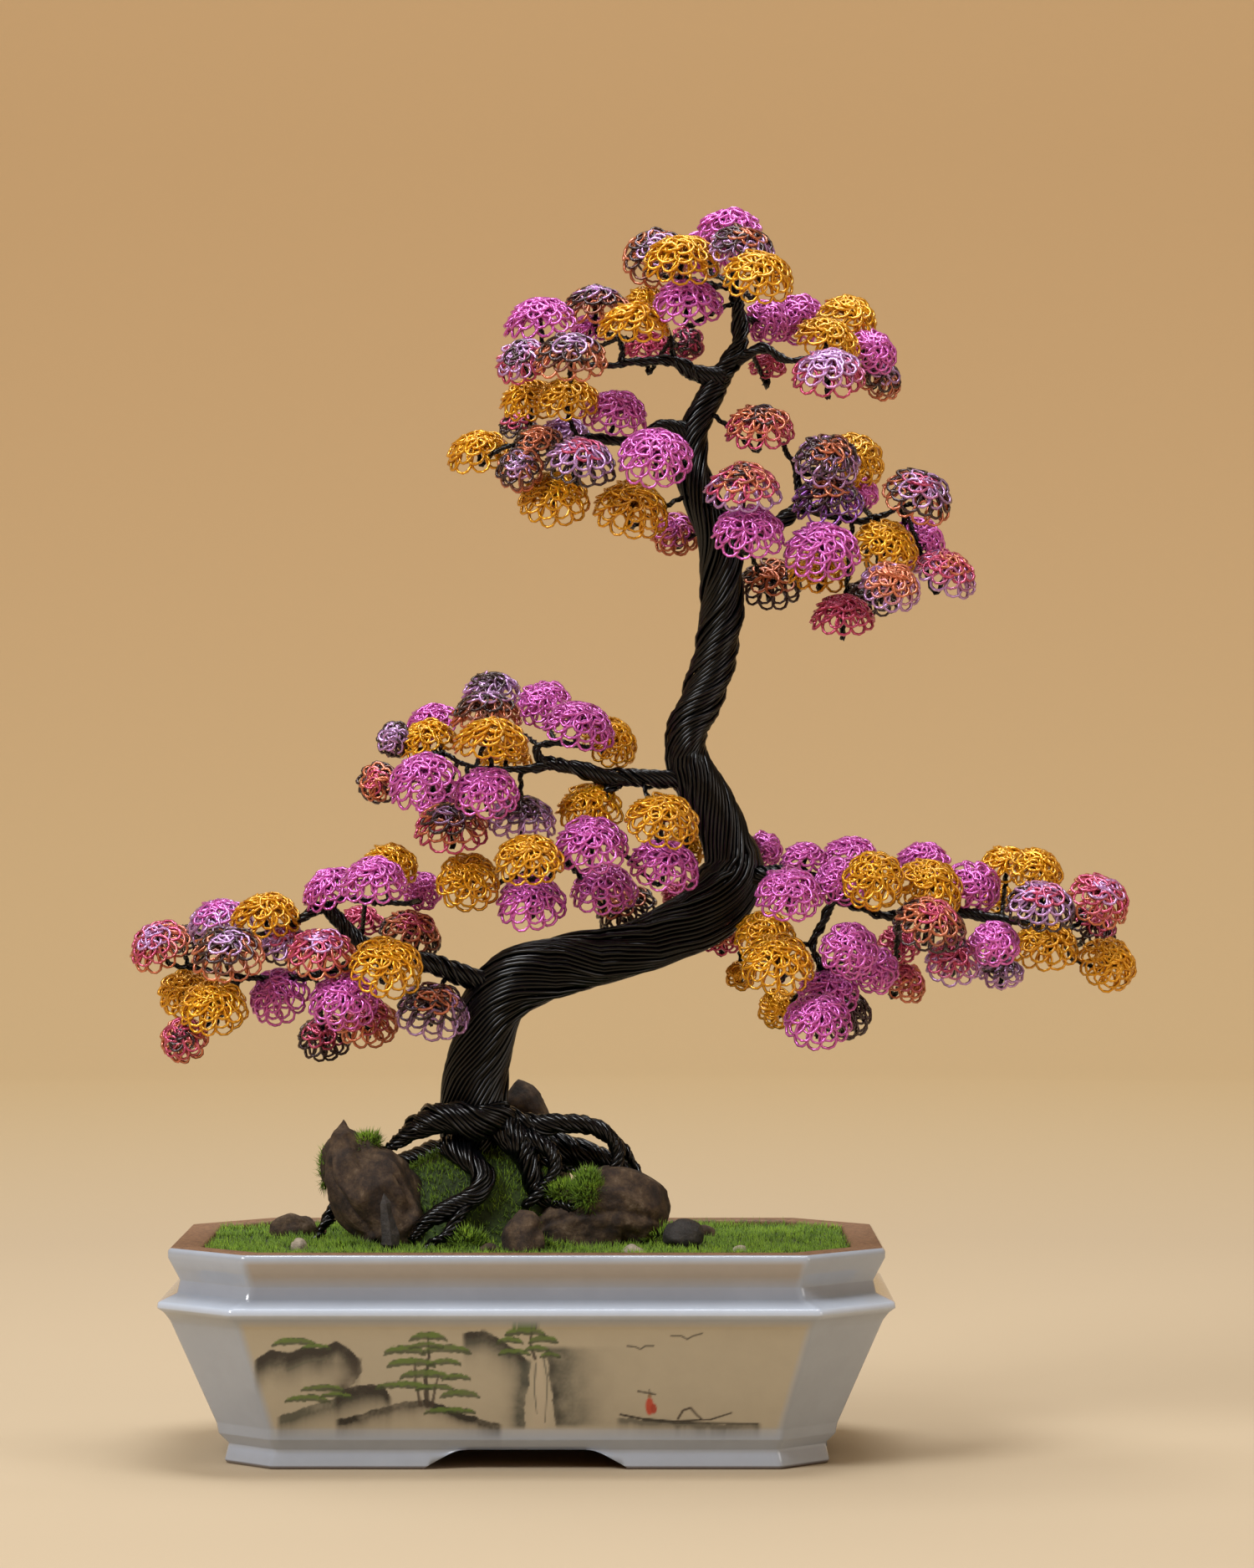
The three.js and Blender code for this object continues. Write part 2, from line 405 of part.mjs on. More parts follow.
// A rock is a short fat rope, its rings pushed in and out.
function buildRock(rows, grow) {
  const lumpy = rows.map((row, i) => ({ spot: row.spot, radius: row.radius * (1 + 0.08 * Math.sin(5 * i)) }));
  const sides = rows.length > 3 ? 7 : 6;
  return rope(lumpy, { sides, steps: rows.length, lobes: 2, lobeDepth: 0.1, turns: 0.2, grow });
}

const trunkTwist = { sides: 9, steps: 27, lobes: 3, lobeDepth: 0.1, turns: 2 };
const trunkRope = (grow) => rope(trunkReadings, { ...trunkTwist, grow });

function buildTrunk(grow) {
  const roots = Object.values(rootReadings)
    .map((readings) => rope(readings, { sides: 5, steps: readings.length - 1, grow }));
  return joined([trunkRope(grow), ...roots]).intersect(aboveSoil);
}

function buildBranch(ropes, grow) {
  return joined(ropes.map((readings) => rope(readings, { sides: 5, steps: readings.length, grow })));
}

const padSides = 6;
const twigRadius = 1.7;
const windLength = 5;
const windThickness = 2;

// Shape of a pad. Seen from the front a dome of this height shows a half height that grows
// as its face tips forward; the tilt is worked back from the half height that was read.
const domeHeight = 0.6;
const flattestShare = 0.28;
const steepestSine = 0.92;
function padShape({ px, py, halfWidth, halfHeight, lean, depth }) {
  const radius = halfWidth * scaleAt(depth);
  const share = Math.max(halfHeight / halfWidth, flattestShare);
  const q = domeHeight ** 2;
  const root = Math.sqrt(4 * share ** 2 - q * (4 * share ** 2 - q));
  const sine = THREE.MathUtils.clamp((2 * share - root) / q, 0, steepestSine);
  const cosine = Math.sqrt(1 - sine ** 2);
  const isRear = depth >= REAR;
  const tip = isRear ? sine : -sine;
  const roll = THREE.MathUtils.degToRad(isRear ? 0 : lean);
  const axis = new THREE.Vector3(Math.sin(roll) * cosine, tip, Math.cos(roll) * cosine);
  const topReach = Math.sqrt(sine ** 2 + q * cosine ** 2);
  const lift = (radius * (topReach - sine)) / 2;
  const base = place(px, py, depth).add(new THREE.Vector3(-Math.sin(roll) * lift, 0, -Math.cos(roll) * lift));
  return { radius, height: radius * Math.min(domeHeight, 2 * share), axis, base };
}

// Pads that would cut into each other are moved apart in depth, a little at a time.
const spreadPasses = 90;
const spreadPush = 0.7;
const padClearance = 1.5;
const nearestBase = -72;
const farthestBase = 74;
function spreadInDepth(pads) {
  for (let pass = 0; pass < spreadPasses; pass += 1) {
    for (let i = 0; i < pads.length; i += 1) {
      for (let j = i + 1; j < pads.length; j += 1) {
        const [one, two] = [pads[i], pads[j]];
        const apart = two.base.clone().sub(one.base);
        const reach = one.radius + two.radius;
        if (apart.length() < reach) {
          const axis = one.axis.clone().add(two.axis).normalize();
          const rise = Math.abs(apart.dot(axis));
          const spread = Math.sqrt(Math.max(apart.lengthSq() - rise ** 2, 0));
          const clear = Math.hypot(spread / reach, rise / (0.5 * (one.height + two.height) + padClearance));
          if (clear < 1) {
            const push = apart.y >= 0 ? spreadPush : -spreadPush;
            one.base.y = Math.max(one.base.y - push, nearestBase);
            two.base.y = Math.min(two.base.y + push, farthestBase);
          }
        }
      }
    }
  }
}

// A pad: a low dome with straight facets, its upper edge drawn in.
function buildDome({ radius, height, axis, base }, grow) {
  const outline = new THREE.Shape(Array.from({ length: padSides }, (_, i) => {
    const angle = (2 * Math.PI * i) / padSides;
    return new THREE.Vector2(Math.cos(angle), Math.sin(angle)).multiplyScalar(radius + grow);
  }));
  const geometry = new THREE.ExtrudeGeometry(outline, { depth: height + 2 * grow, bevelEnabled: false });
  const vertices = geometry.attributes.position;
  for (let i = 0; i < vertices.count; i += 1) {
    const drawnIn = vertices.getZ(i) > height / 2 ? 0.6 : 1;
    vertices.setXY(i, vertices.getX(i) * drawnIn, vertices.getY(i) * drawnIn);
  }
  geometry.translate(0, 0, -grow);
  geometry.applyQuaternion(new THREE.Quaternion().setFromUnitVectors(new THREE.Vector3(0, 0, 1), axis));
  geometry.translate(base.x, base.y, base.z);
  return solidOf(geometry);
}

// Place on a carrier's ropes that is nearest to a target, with the rope's size and run there.
function nearestOn(ropes, target) {
  let best = null;
  for (const readings of ropes) {
    const curve = new THREE.CatmullRomCurve3(readings.map((reading) => reading.spot));
    const radii = readings.map((reading) => reading.radius);
    for (let i = 0; i <= 60; i += 1) {
      const spot = curve.getPointAt(i / 60);
      const away = spot.distanceTo(target);
      if (!best || away < best.away) {
        const radius = along(radii, curve.getUtoTmapping(i / 60));
        best = { spot, away, radius, run: curve.getTangentAt(i / 60) };
      }
    }
  }
  return best;
}

// A twig from one spot through the nearest pads in turn.
function twigThrough(start, seats, grow) {
  const readings = [{ spot: start, radius: twigRadius }];
  const left = [...seats];
  while (left.length > 0) {
    const last = readings[readings.length - 1].spot;
    left.sort((one, two) => one.distanceTo(last) - two.distanceTo(last));
    readings.push({ spot: left.shift(), radius: twigRadius });
  }
  return rope(readings, { sides: 3, steps: readings.length - 1, grow });
}

// The twigs of a spray are wound once round the carrier, then run to the pads before it
// and to the pads behind it.
function buildTwigs(carrier, shapes, grow) {
  const seats = shapes.map((shape) => shape.base.clone().addScaledVector(shape.axis, 0.4 * shape.height));
  const middle = seats.reduce((sum, seat) => sum.add(seat), new THREE.Vector3()).divideScalar(seats.length);
  const root = nearestOn(carrier, middle);
  const before = seats.filter((seat) => seat.y < root.spot.y);
  const behind = seats.filter((seat) => seat.y >= root.spot.y);
  const twigs = [before, behind].filter((side) => side.length > 0)
    .map((side) => twigThrough(root.spot, side, grow));
  if (twigs.length === 2) {
    const ends = [-windLength / 2, windLength / 2].map((shift) => ({
      spot: root.spot.clone().addScaledVector(root.run, shift),
      radius: (root.radius + windThickness) / Math.cos(Math.PI / 6),
    }));
    twigs.push(rope(ends, { sides: 6, steps: 1, grow }));
  }
  return joined(twigs);
}

const touches = (one, two) => !one.intersect(two).isEmpty();
const cutOne = (solid, cutter) => (touches(solid, cutter) ? solid.subtract(cutter) : solid);
const cutBy = (solid, cutters) => cutters.reduce(cutOne, solid);

function meshOf(name, solid, { color, roughness, metalness }) {
  const material = new THREE.MeshStandardMaterial({ color, roughness, metalness });
  const mesh = new THREE.Mesh(geometryOf(solid), material);
  mesh.name = name;
  return mesh;
}

const blackWire = { color: 0x141416, roughness: 0.4, metalness: 0.5 };
const glaze = { color: 0x9aa0a0, roughness: 0.15, metalness: 0 };
const moss = { color: 0x7a9420, roughness: 1, metalness: 0 };
const rockFinish = { roughness: 0.9, metalness: 0 };

const group = new THREE.Group();
group.add(meshOf('pot', buildPot(), glaze));

const trunk = buildTrunk(0);
const trunkGrown = buildTrunk(gap);
group.add(meshOf('trunk', trunk, blackWire));

const woodGrown = [trunkGrown];
for (const [name, ropes] of Object.entries(branchReadings)) {
  const branch = mainBody(cutBy(buildBranch(ropes, 0), woodGrown));
  group.add(meshOf(name, branch, blackWire));
  woodGrown.push(buildBranch(ropes, gap));
}

// Rocks rest on the pot's fill, clear of the roots.
const rocksGrown = [];
for (const [name, { color, rows }] of Object.entries(rockReadings)) {
  const whole = buildRock(rows, 0).intersect(aboveSoil);
  group.add(meshOf(name, mainBody(cutBy(whole, [trunkGrown, ...rocksGrown])), { color, ...rockFinish }));
  rocksGrown.push(buildRock(rows, gap));
}
group.add(meshOf('ground', mainBody(cutBy(buildGround(), [trunkGrown, ...rocksGrown])), moss));

// Sprays: the pads are cut where another spray's twig or pad, or a branch, comes through.
const carriers = { trunk: [trunkReadings.slice(16)], ...branchReadings };
const sprayNames = Object.keys(sprays);
const shapesOf = Object.fromEntries(sprayNames.map((name) => [name, sprays[name].pads.map(padShape)]));
spreadInDepth(Object.values(shapesOf).flat());
const twigsOf = (name, grow) => buildTwigs(carriers[sprays[name].on], shapesOf[name], grow);
const twigsGrown = sprayNames.map((name) => twigsOf(name, gap));
const padsGrown = [];
sprayNames.forEach((name, order) => {
  const otherTwigs = twigsGrown.filter((_, other) => other !== order);
  const cutters = [...woodGrown, ...otherTwigs, ...padsGrown];
  const domes = shapesOf[name].map((shape) => cutBy(buildDome(shape, 0), cutters));
  const stem = cutBy(twigsOf(name, 0), [...woodGrown, ...twigsGrown.slice(0, order)]);
  group.add(meshOf(name, mainBody(joined([stem, ...domes])), sprays[name].wire));
  padsGrown.push(...shapesOf[name].map((shape) => buildDome(shape, gap)));
});

// The work stands with the middle of its footprint on the origin.
const bounds = new THREE.Box3().setFromObject(group);
const centre = bounds.getCenter(new THREE.Vector3());
group.position.set(-centre.x, -centre.y, -bounds.min.z);

export default group;
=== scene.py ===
"""Looks of the wire tree sculpture: a bonsai of twisted black wire whose foliage pads are
domes of coloured wire loops, standing on rocks and moss in a glazed octagonal pot.

Shapes are worked out in millimetres and put into meshes in metres, in the part's frame.
"""
import math
from collections import namedtuple

import bpy
import numpy as np
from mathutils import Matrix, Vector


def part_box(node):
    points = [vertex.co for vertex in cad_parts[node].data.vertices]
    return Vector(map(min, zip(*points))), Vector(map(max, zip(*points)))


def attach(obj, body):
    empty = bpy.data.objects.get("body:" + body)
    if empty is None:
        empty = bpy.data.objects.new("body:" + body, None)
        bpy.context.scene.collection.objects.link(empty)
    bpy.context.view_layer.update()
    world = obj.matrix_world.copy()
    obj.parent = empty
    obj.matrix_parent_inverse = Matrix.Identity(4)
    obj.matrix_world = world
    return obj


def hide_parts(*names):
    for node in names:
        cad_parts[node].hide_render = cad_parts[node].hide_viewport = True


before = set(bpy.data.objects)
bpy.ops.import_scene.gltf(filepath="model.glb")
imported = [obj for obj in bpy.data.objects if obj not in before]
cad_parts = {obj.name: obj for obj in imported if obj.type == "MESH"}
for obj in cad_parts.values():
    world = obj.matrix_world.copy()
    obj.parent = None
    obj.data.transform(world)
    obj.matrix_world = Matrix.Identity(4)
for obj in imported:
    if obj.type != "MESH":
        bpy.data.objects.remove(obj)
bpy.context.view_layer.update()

MM = 0.001

# The pot's middle in the part's frame, in millimetres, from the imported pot.
pot_low, pot_high = [np.array(corner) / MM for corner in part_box("pot")]
POT_X, POT_Y = (pot_low + pot_high)[:2] / 2
RIM_TOP = pot_high[2]

# The eye that the readings below were taken with: a level view along +Y, pixels of a
# frame 1500 wide and 1875 high, depth in millimetres from the pot's middle, + away.
EYE_ACROSS, EYE_HEIGHT, EYE_DISTANCE = 36.6, 248.4, 1877.0
FOCAL_PIXELS, MIDDLE_X, MIDDLE_Y = 6000.0, 750.0, 937.0
FRAME_LONG_SIDE = 1875.0


def scale_at(depth):
    """Millimetres to one pixel at a depth."""
    return (EYE_DISTANCE + depth) / FOCAL_PIXELS


def place(px, py, depth):
    """Point seen at a pixel, at a depth: the pixel's offset from the frame's middle times
    the scale at that depth, from the eye."""
    across = POT_X + EYE_ACROSS + (px - MIDDLE_X) * scale_at(depth)
    up = EYE_HEIGHT + (MIDDLE_Y - py) * scale_at(depth)
    return np.stack(np.broadcast_arrays(across, POT_Y + depth, up), axis=-1)


# Camera and studio

def aim(thing, spot, target):
    """Puts a lamp or camera at a spot and points its -Z axis at a target."""
    ahead = np.array(target, float) - np.array(spot, float)
    flat = math.hypot(ahead[0], ahead[1])
    thing.location = spot
    thing.rotation_euler = (math.atan2(flat, -ahead[2]), 0, math.atan2(-ahead[0], ahead[1]))


def add_camera():
    """Level camera at the eye; its lens turns the focal length in pixels into that of a
    36 mm sensor across the frame's long side."""
    lens = bpy.data.cameras.new("camera")
    lens.sensor_width = 36.0
    lens.lens = FOCAL_PIXELS * lens.sensor_width / FRAME_LONG_SIDE
    lens.clip_end = 20.0
    camera = bpy.data.objects.new("camera", lens)
    bpy.context.scene.collection.objects.link(camera)
    spot = np.array([POT_X + EYE_ACROSS, POT_Y - EYE_DISTANCE, EYE_HEIGHT]) * MM
    aim(camera, spot, spot + (0, 1, 0))
    bpy.context.scene.camera = camera


def add_lamp(name, spot, target, size, watts, tint):
    lamp = bpy.data.lights.new(name, "AREA")
    lamp.shape = "RECTANGLE"
    lamp.size, lamp.size_y = size
    lamp.energy = watts
    lamp.color = tint
    thing = bpy.data.objects.new(name, lamp)
    bpy.context.scene.collection.objects.link(thing)
    aim(thing, spot, target)


# Meshes

def add_mesh(name, points, faces, material, colours=None, smooth=True):
    """Mesh from points in millimetres and a list of face tables, each with rows of equal
    length; colours are linear RGB, one to a point, kept as the attribute wire_colour."""
    mesh = bpy.data.meshes.new(name)
    tables = [np.asarray(table).reshape(-1, np.asarray(table).shape[-1]) for table in faces]
    corners = np.concatenate([table.ravel() for table in tables]).astype(np.int32)
    sizes = np.concatenate([np.full(len(table), table.shape[1]) for table in tables])
    starts = np.concatenate([[0], np.cumsum(sizes)[:-1]]).astype(np.int32)
    mesh.vertices.add(len(points))
    mesh.vertices.foreach_set("co", (np.asarray(points) * MM).astype(np.float32).ravel())
    mesh.loops.add(len(corners))
    mesh.loops.foreach_set("vertex_index", corners)
    mesh.polygons.add(len(sizes))
    mesh.polygons.foreach_set("loop_start", starts)
    mesh.polygons.foreach_set("use_smooth", np.full(len(sizes), smooth))
    mesh.update(calc_edges=True)
    mesh.validate()
    if colours is not None:
        layer = mesh.color_attributes.new("wire_colour", "FLOAT_COLOR", "POINT")
        with_alpha = np.concatenate([colours, np.ones((len(colours), 1))], axis=1)
        layer.data.foreach_set("color", with_alpha.astype(np.float32).ravel())
    mesh.materials.append(material)
    piece = bpy.data.objects.new(name, mesh)
    bpy.context.scene.collection.objects.link(piece)
    return piece


def finished(piece, slot, *nodes):
    """Every piece rides on the one body and may stand for CAD nodes, which are hidden; the slot is not used.
    """
    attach(piece, "root")
    if nodes:
        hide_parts(*nodes)
    return piece


class Bin:
    """Points, faces and colours of several shapes that become one mesh."""

    def __init__(self):
        self.points, self.faces, self.colours, self.count = [], [], [], 0

    def put(self, points, faces, colours=None):
        self.points.append(points.reshape(-1, 3))
        self.faces += [np.asarray(table) + self.count for table in faces]
        if colours is not None:
            self.colours.append(np.broadcast_to(colours, self.points[-1].shape))
        self.count += len(self.points[-1])

    def mesh(self, name, material, smooth=True):
        colours = np.concatenate(self.colours) if self.colours else None
        return add_mesh(name, np.concatenate(self.points), self.faces, material, colours, smooth)


def unit(vectors):
    return vectors / np.maximum(np.linalg.norm(vectors, axis=-1, keepdims=True), 1e-9)


def swing(turn, first, second):
    """Direction at an angle in the plane of two others: cosine of one, sine of the other."""
    return np.cos(turn) * first + np.sin(turn) * second


def sides_of(path, hint):
    """Two directions square to a path's run at each point, the first also to a hint."""
    run = unit(np.gradient(path, axis=0))
    first = unit(np.cross(run, np.array(hint)))
    return first, np.cross(run, first)


def length_along(points):
    """Distance from a path's first point to each of its points."""
    return np.concatenate([[0], np.cumsum(np.linalg.norm(np.diff(points, axis=0), axis=1))])


def level_spot(x, y):
    """Points at height 0, as places to ask the noise for."""
    return np.stack([x, y, np.zeros_like(x)], -1)


def end_caps(rows, columns):
    """The faces that close the first and the last row of a grid closed round its rows."""
    return np.stack([np.arange(columns)[::-1], (rows - 1) * columns + np.arange(columns)])


def grid_faces(rows, columns, rows_close=False, columns_close=False):
    """Quads between the points of a grid; either way round may close on itself."""
    i = np.arange(rows if rows_close else rows - 1)[:, None]
    j = np.arange(columns if columns_close else columns - 1)[None, :]
    low, high = i * columns, ((i + 1) % rows) * columns
    left, right = j, (j + 1) % columns
    return np.stack([low + left, low + right, high + right, high + left], axis=-1).reshape(-1, 4)


def tube(shapes, path, outward, radius, sides=4, colours=None):
    """Round wire along a path: at each point a ring of `sides` points, radius away, in the
    plane of the outward direction and its cross with the path's run. Both ends are capped."""
    run = unit(np.gradient(path, axis=0))
    aside = unit(np.cross(run, outward))
    up = np.cross(aside, run)
    turn = 2 * np.pi * np.arange(sides) / sides
    size = np.broadcast_to(radius, (len(path),))[:, None, None]
    points = path[:, None] + size * swing(turn[None, :, None], up[:, None], aside[:, None])
    faces = [grid_faces(len(path), sides, columns_close=True), end_caps(len(path), sides)]
    shapes.put(points, faces, None if colours is None else np.repeat(colours, sides, axis=0))


def noise(points, size, seed):
    """Smooth noise from -1 to 1: random values on a lattice of that size, blended between
    the eight corners round each point."""
    table = np.random.default_rng(seed).uniform(-1, 1, 4096)
    scaled = np.asarray(points, float) / size
    cell = np.floor(scaled).astype(int)
    part = scaled - cell
    part = part * part * (3 - 2 * part)
    total = 0.0
    for corner in np.ndindex(2, 2, 2):
        at = cell + corner
        key = (at[..., 0] * 73 + at[..., 1] * 179 + at[..., 2] * 283) % 4096
        share = np.prod(np.where(corner, part, 1 - part), axis=-1)
        total = total + share * table[key]
    return total


def smooth_path(points, step):
    """Cubic curve through the points, sampled about every `step`: Hermite blends of the
    points and of their slopes over the distance between them."""
    points = np.asarray(points, float)
    reach = length_along(points[:, :3])
    slopes = np.gradient(points, reach, axis=0)
    at = np.linspace(0, reach[-1], max(int(reach[-1] / step) + 1, 4))
    k = np.clip(np.searchsorted(reach, at, side="right") - 1, 0, len(points) - 2)
    gap = (reach[k + 1] - reach[k])[:, None]
    t = (at - reach[k])[:, None] / gap
    return ((1 + 2 * t) * (1 - t) ** 2 * points[k] + t * (1 - t) ** 2 * gap * slopes[k]
            + t * t * (3 - 2 * t) * points[k + 1] + t * t * (t - 1) * gap * slopes[k + 1])


def measured(readings):
    """Points and radii in millimetres from rows of px, py, width in pixels, depth."""
    px, py, width, depth = np.asarray(readings, float).T
    return place(px, py, depth), width * scale_at(depth) / 2


def line_of(readings, step):
    """Smooth line through readings: its points, with their radii as a fourth column."""
    return smooth_path(np.column_stack(measured(readings)), step)


# Materials

def linear(hex_code):
    """Linear RGB of an sRGB hex value."""
    channels = np.array([int(hex_code[i:i + 2], 16) for i in (1, 3, 5)]) / 255
    return np.where(channels <= 0.04045, channels / 12.92, ((channels + 0.055) / 1.055) ** 2.4)


def rgba(hex_code):
    return (*linear(hex_code), 1.0)


def add_node(material, kind, settings=None, **inputs):
    """A node with its settings, and its inputs as values or as links from other sockets."""
    node = material.node_tree.nodes.new(kind)
    for key, value in (settings or {}).items():
        setattr(node, key, value)
    for key, value in inputs.items():
        numbered = key[0] == "i" and key[1:].isdigit()
        socket = node.inputs[int(key[1:]) if numbered else key.replace("_", " ")]
        if isinstance(value, bpy.types.NodeSocket):
            material.node_tree.links.new(value, socket)
        else:
            socket.default_value = value
    return node


def new_material(name):
    material = bpy.data.materials.new(name)
    material.use_nodes = True
    material.node_tree.nodes.clear()
    return material


def finish_material(material, **inputs):
    shader = add_node(material, "ShaderNodeBsdfPrincipled", **inputs)
    add_node(material, "ShaderNodeOutputMaterial", Surface=shader.outputs[0])
    return material


def ramp(material, fac, stops):
    """Colour ramp from (position, hex) stops."""
    node = add_node(material, "ShaderNodeValToRGB", Fac=fac)
    elements = node.color_ramp.elements
    while len(elements) < len(stops):
        elements.new(0.5)
    for element, (position, code) in zip(elements, stops):
        element.position = position
        element.color = rgba(code)
    return node.outputs["Color"]


def grain(material, millimetres, detail=3.0, rough=0.5):
    """Noise on object coordinates, one cycle to about so many millimetres."""
    where = add_node(material, "ShaderNodeTexCoord")
    return add_node(material, "ShaderNodeTexNoise", Vector=where.outputs["Object"],
                    Scale=1 / (millimetres * MM), Detail=detail, Roughness=rough).outputs["Fac"]


def bump(material, height, millimetres, strength=1.0):
    return add_node(material, "ShaderNodeBump", Height=height, Distance=millimetres * MM,
                    Strength=strength).outputs["Normal"]


def stretched(material, value, low, high):
    """The value's range 0 to 1 stretched over low to high."""
    return add_node(material, "ShaderNodeMapRange", Value=value, i3=low, i4=high).outputs[0]


def painted(material, shade):
    """The attribute wire_colour, made lighter or darker by a shade."""
    tint = add_node(material, "ShaderNodeAttribute", {"attribute_name": "wire_colour"}).outputs["Color"]
    scaled = add_node(material, "ShaderNodeVectorMath", {"operation": "SCALE"}, i0=tint, Scale=shade)
    return scaled.outputs[0]


def coloured_wire_material():
    """Enamelled copper craft wire, drawn and varnished: the metal shines through a clear
    coloured lacquer, so highlights are tinted inside and white on the skin."""
    material = new_material("enamelled_copper_craft_wire")
    wear = grain(material, 2.5, 2.0)
    base = painted(material, stretched(material, wear, 0.88, 1.1))
    rough = stretched(material, wear, 0.2, 0.34)
    return finish_material(material, Base_Color=base, Metallic=0.6, Roughness=rough,
                           Coat_Weight=0.6, Coat_Roughness=0.08, IOR=1.5)


def black_wire_material():
    """Black enamelled aluminium wire, drawn and baked: deep black with a hard gloss that
    runs in a thin line along each wire."""
    material = new_material("black_enamelled_wire")
    wear = grain(material, 3.0, 3.0)
    base = ramp(material, wear, [(0.3, "#030304"), (0.62, "#06070a"), (0.8, "#0d0f14")])
    rough = stretched(material, wear, 0.17, 0.28)
    return finish_material(material, Base_Color=base, Metallic=0.0, Roughness=rough, IOR=1.5,
                           Specular_IOR_Level=0.3, Coat_Weight=0.12, Coat_Roughness=0.1)


def glaze_material():
    """Pale blue-grey stoneware glaze, dipped and fired over a painted landscape: thick and
    glossy, faintly mottled. Its colour, the painting, and the painted shade, highlight and
    reflections on the front, rim and ledge are kept in the attribute."""
    material = new_material("painted_stoneware_glaze")
    base = painted(material, stretched(material, grain(material, 9.0, 4.0, 0.6), 0.93, 1.06))
    ripple = bump(material, grain(material, 14.0, 2.0), 0.25, 0.6)
    return finish_material(material, Base_Color=base, Roughness=0.16, IOR=1.52,
                           Coat_Weight=0.5, Coat_Roughness=0.06, Normal=ripple)


def clay_material():
    """Unglazed brown stoneware clay of the rim and foot ring, wiped bare before firing:
    matt, with iron specks and a coarse grit."""
    material = new_material("bare_stoneware_clay")
    specks = grain(material, 1.6, 5.0, 0.7)
    base = ramp(material, specks, [(0.28, "#4a3120"), (0.5, "#7a5840"), (0.72, "#94704f")])
    return finish_material(material, Base_Color=base, Roughness=0.62,
                           Normal=bump(material, specks, 0.25, 0.8))


def moss_material(name, stops):
    """Dyed static-grass moss: dry fibres in patches of the given colours, darkened by a fine
    grain. The felt under them takes dark green colours, painted shade between the fibres."""
    material = new_material(name)
    patch = grain(material, 7.0, 4.0, 0.65)
    fine = grain(material, 0.9, 2.0)
    base = ramp(material, patch, stops)
    dark = ramp(material, fine, [(0.3, "#8a8a8a"), (0.7, "#ffffff")])
    mixed = add_node(material, "ShaderNodeMix", {"data_type": "RGBA", "blend_type": "MULTIPLY"},
                     i0=0.8, i6=base, i7=dark).outputs[2]
    return finish_material(material, Base_Color=mixed, Roughness=0.85, Sheen_Weight=0.05)


def rock_material(name, stops, millimetres, gloss=0.8):
    """Natural stone, broken and weathered: several tones in veins, with a rough skin."""
    material = new_material(name)
    veins = grain(material, millimetres, 6.0, 0.68)
    base = ramp(material, veins, stops)
    skin = bump(material, grain(material, millimetres / 3, 8.0, 0.7), 0.9, 0.9)
    return finish_material(material, Base_Color=base, Roughness=gloss, Normal=skin)


def backdrop_material():
    """Plain matt paper sweep. Its colour follows the level distance from the middle: deeper
    under the work, palest where the floor ends, tan where the paper rises."""
    material = new_material("matt_paper_sweep")
    where = add_node(material, "ShaderNodeTexCoord")
    level = add_node(material, "ShaderNodeVectorMath", {"operation": "MULTIPLY"},
                     i0=where.outputs["Object"], i1=(1.0, 1.0, 0.0)).outputs[0]
    reach = add_node(material, "ShaderNodeVectorMath", {"operation": "LENGTH"}, i0=level).outputs["Value"]
    near, far = 0.9, 3.3
    share = add_node(material, "ShaderNodeMapRange", Value=reach, i1=near, i2=far).outputs[0]
    base = ramp(material, share, [(0.0, "#bba98d"), (0.6, "#d6c29b"), (0.85, "#ceb68e"), (1.0, "#c7aa81")])
    return finish_material(material, Base_Color=base, Roughness=0.9)


COLOURED_WIRE = coloured_wire_material()
BLACK_WIRE = black_wire_material()
GLAZE = glaze_material()
CLAY = clay_material()
MOSS = moss_material("dyed_moss_fibre", [(0.25, "#48690b"), (0.5, "#769c13"), (0.75, "#a4c626")])
# Felt under the fibres, dark green: painted shade between them
MOSS_SHADE_FELT = moss_material("moss_felt_painted_shade", [(0.25, "#1d2a07"), (0.5, "#2f440b"), (0.75, "#456110")])
BROWN_ROCK = rock_material(
    "weathered_brown_rock", [(0.3, "#150f0c"), (0.45, "#35271d"), (0.58, "#54422f"), (0.75, "#867460")], 7.0)
DARK_SLATE = rock_material(
    "split_dark_slate", [(0.3, "#171616"), (0.55, "#332f2d"), (0.8, "#5d564f")], 7.0, 0.6)
PALE_PEBBLE = rock_material(
    "water_worn_pebble", [(0.3, "#85786a"), (0.6, "#b3a794"), (0.8, "#cfc5b4")], 3.0, 0.5)

# Readings of the black wire: px, py, width in pixels, depth in millimetres

TRUNK = [
    (575, 1440, 66, 6), (570, 1390, 80, 6), (568, 1340, 88, 4), (569, 1280, 80, 3), (578, 1238, 79, 2),
    (590, 1203, 80, 1), (614, 1174, 80, 0), (650, 1159, 80, 0), (690, 1149, 74, 0), (730, 1142, 68, 0),
    (770, 1131, 68, 1), (805, 1113, 74, 3), (838, 1095, 80, 4), (865, 1068, 82, 5), (878, 1035, 76, 5),
    (868, 1000, 62, 4), (850, 962, 60, 2), (832, 930, 60, 0), (820, 900, 52, -1), (823, 872, 53, -1),
    (835, 845, 54, 0), (848, 812, 54, 1), (856, 780, 54, 2), (862, 740, 56, 3), (864, 700, 55, 3),
    (863, 662, 55, 3), (855, 630, 53, 2), (840, 598, 48, 1), (828, 560, 43, 0), (828, 525, 38, 0),
    (838, 495, 36, 1), (852, 468, 35, 2), (868, 442, 30, 3), (883, 415, 24, 3), (885, 385, 22, 3),
    (880, 345, 17, 2)]

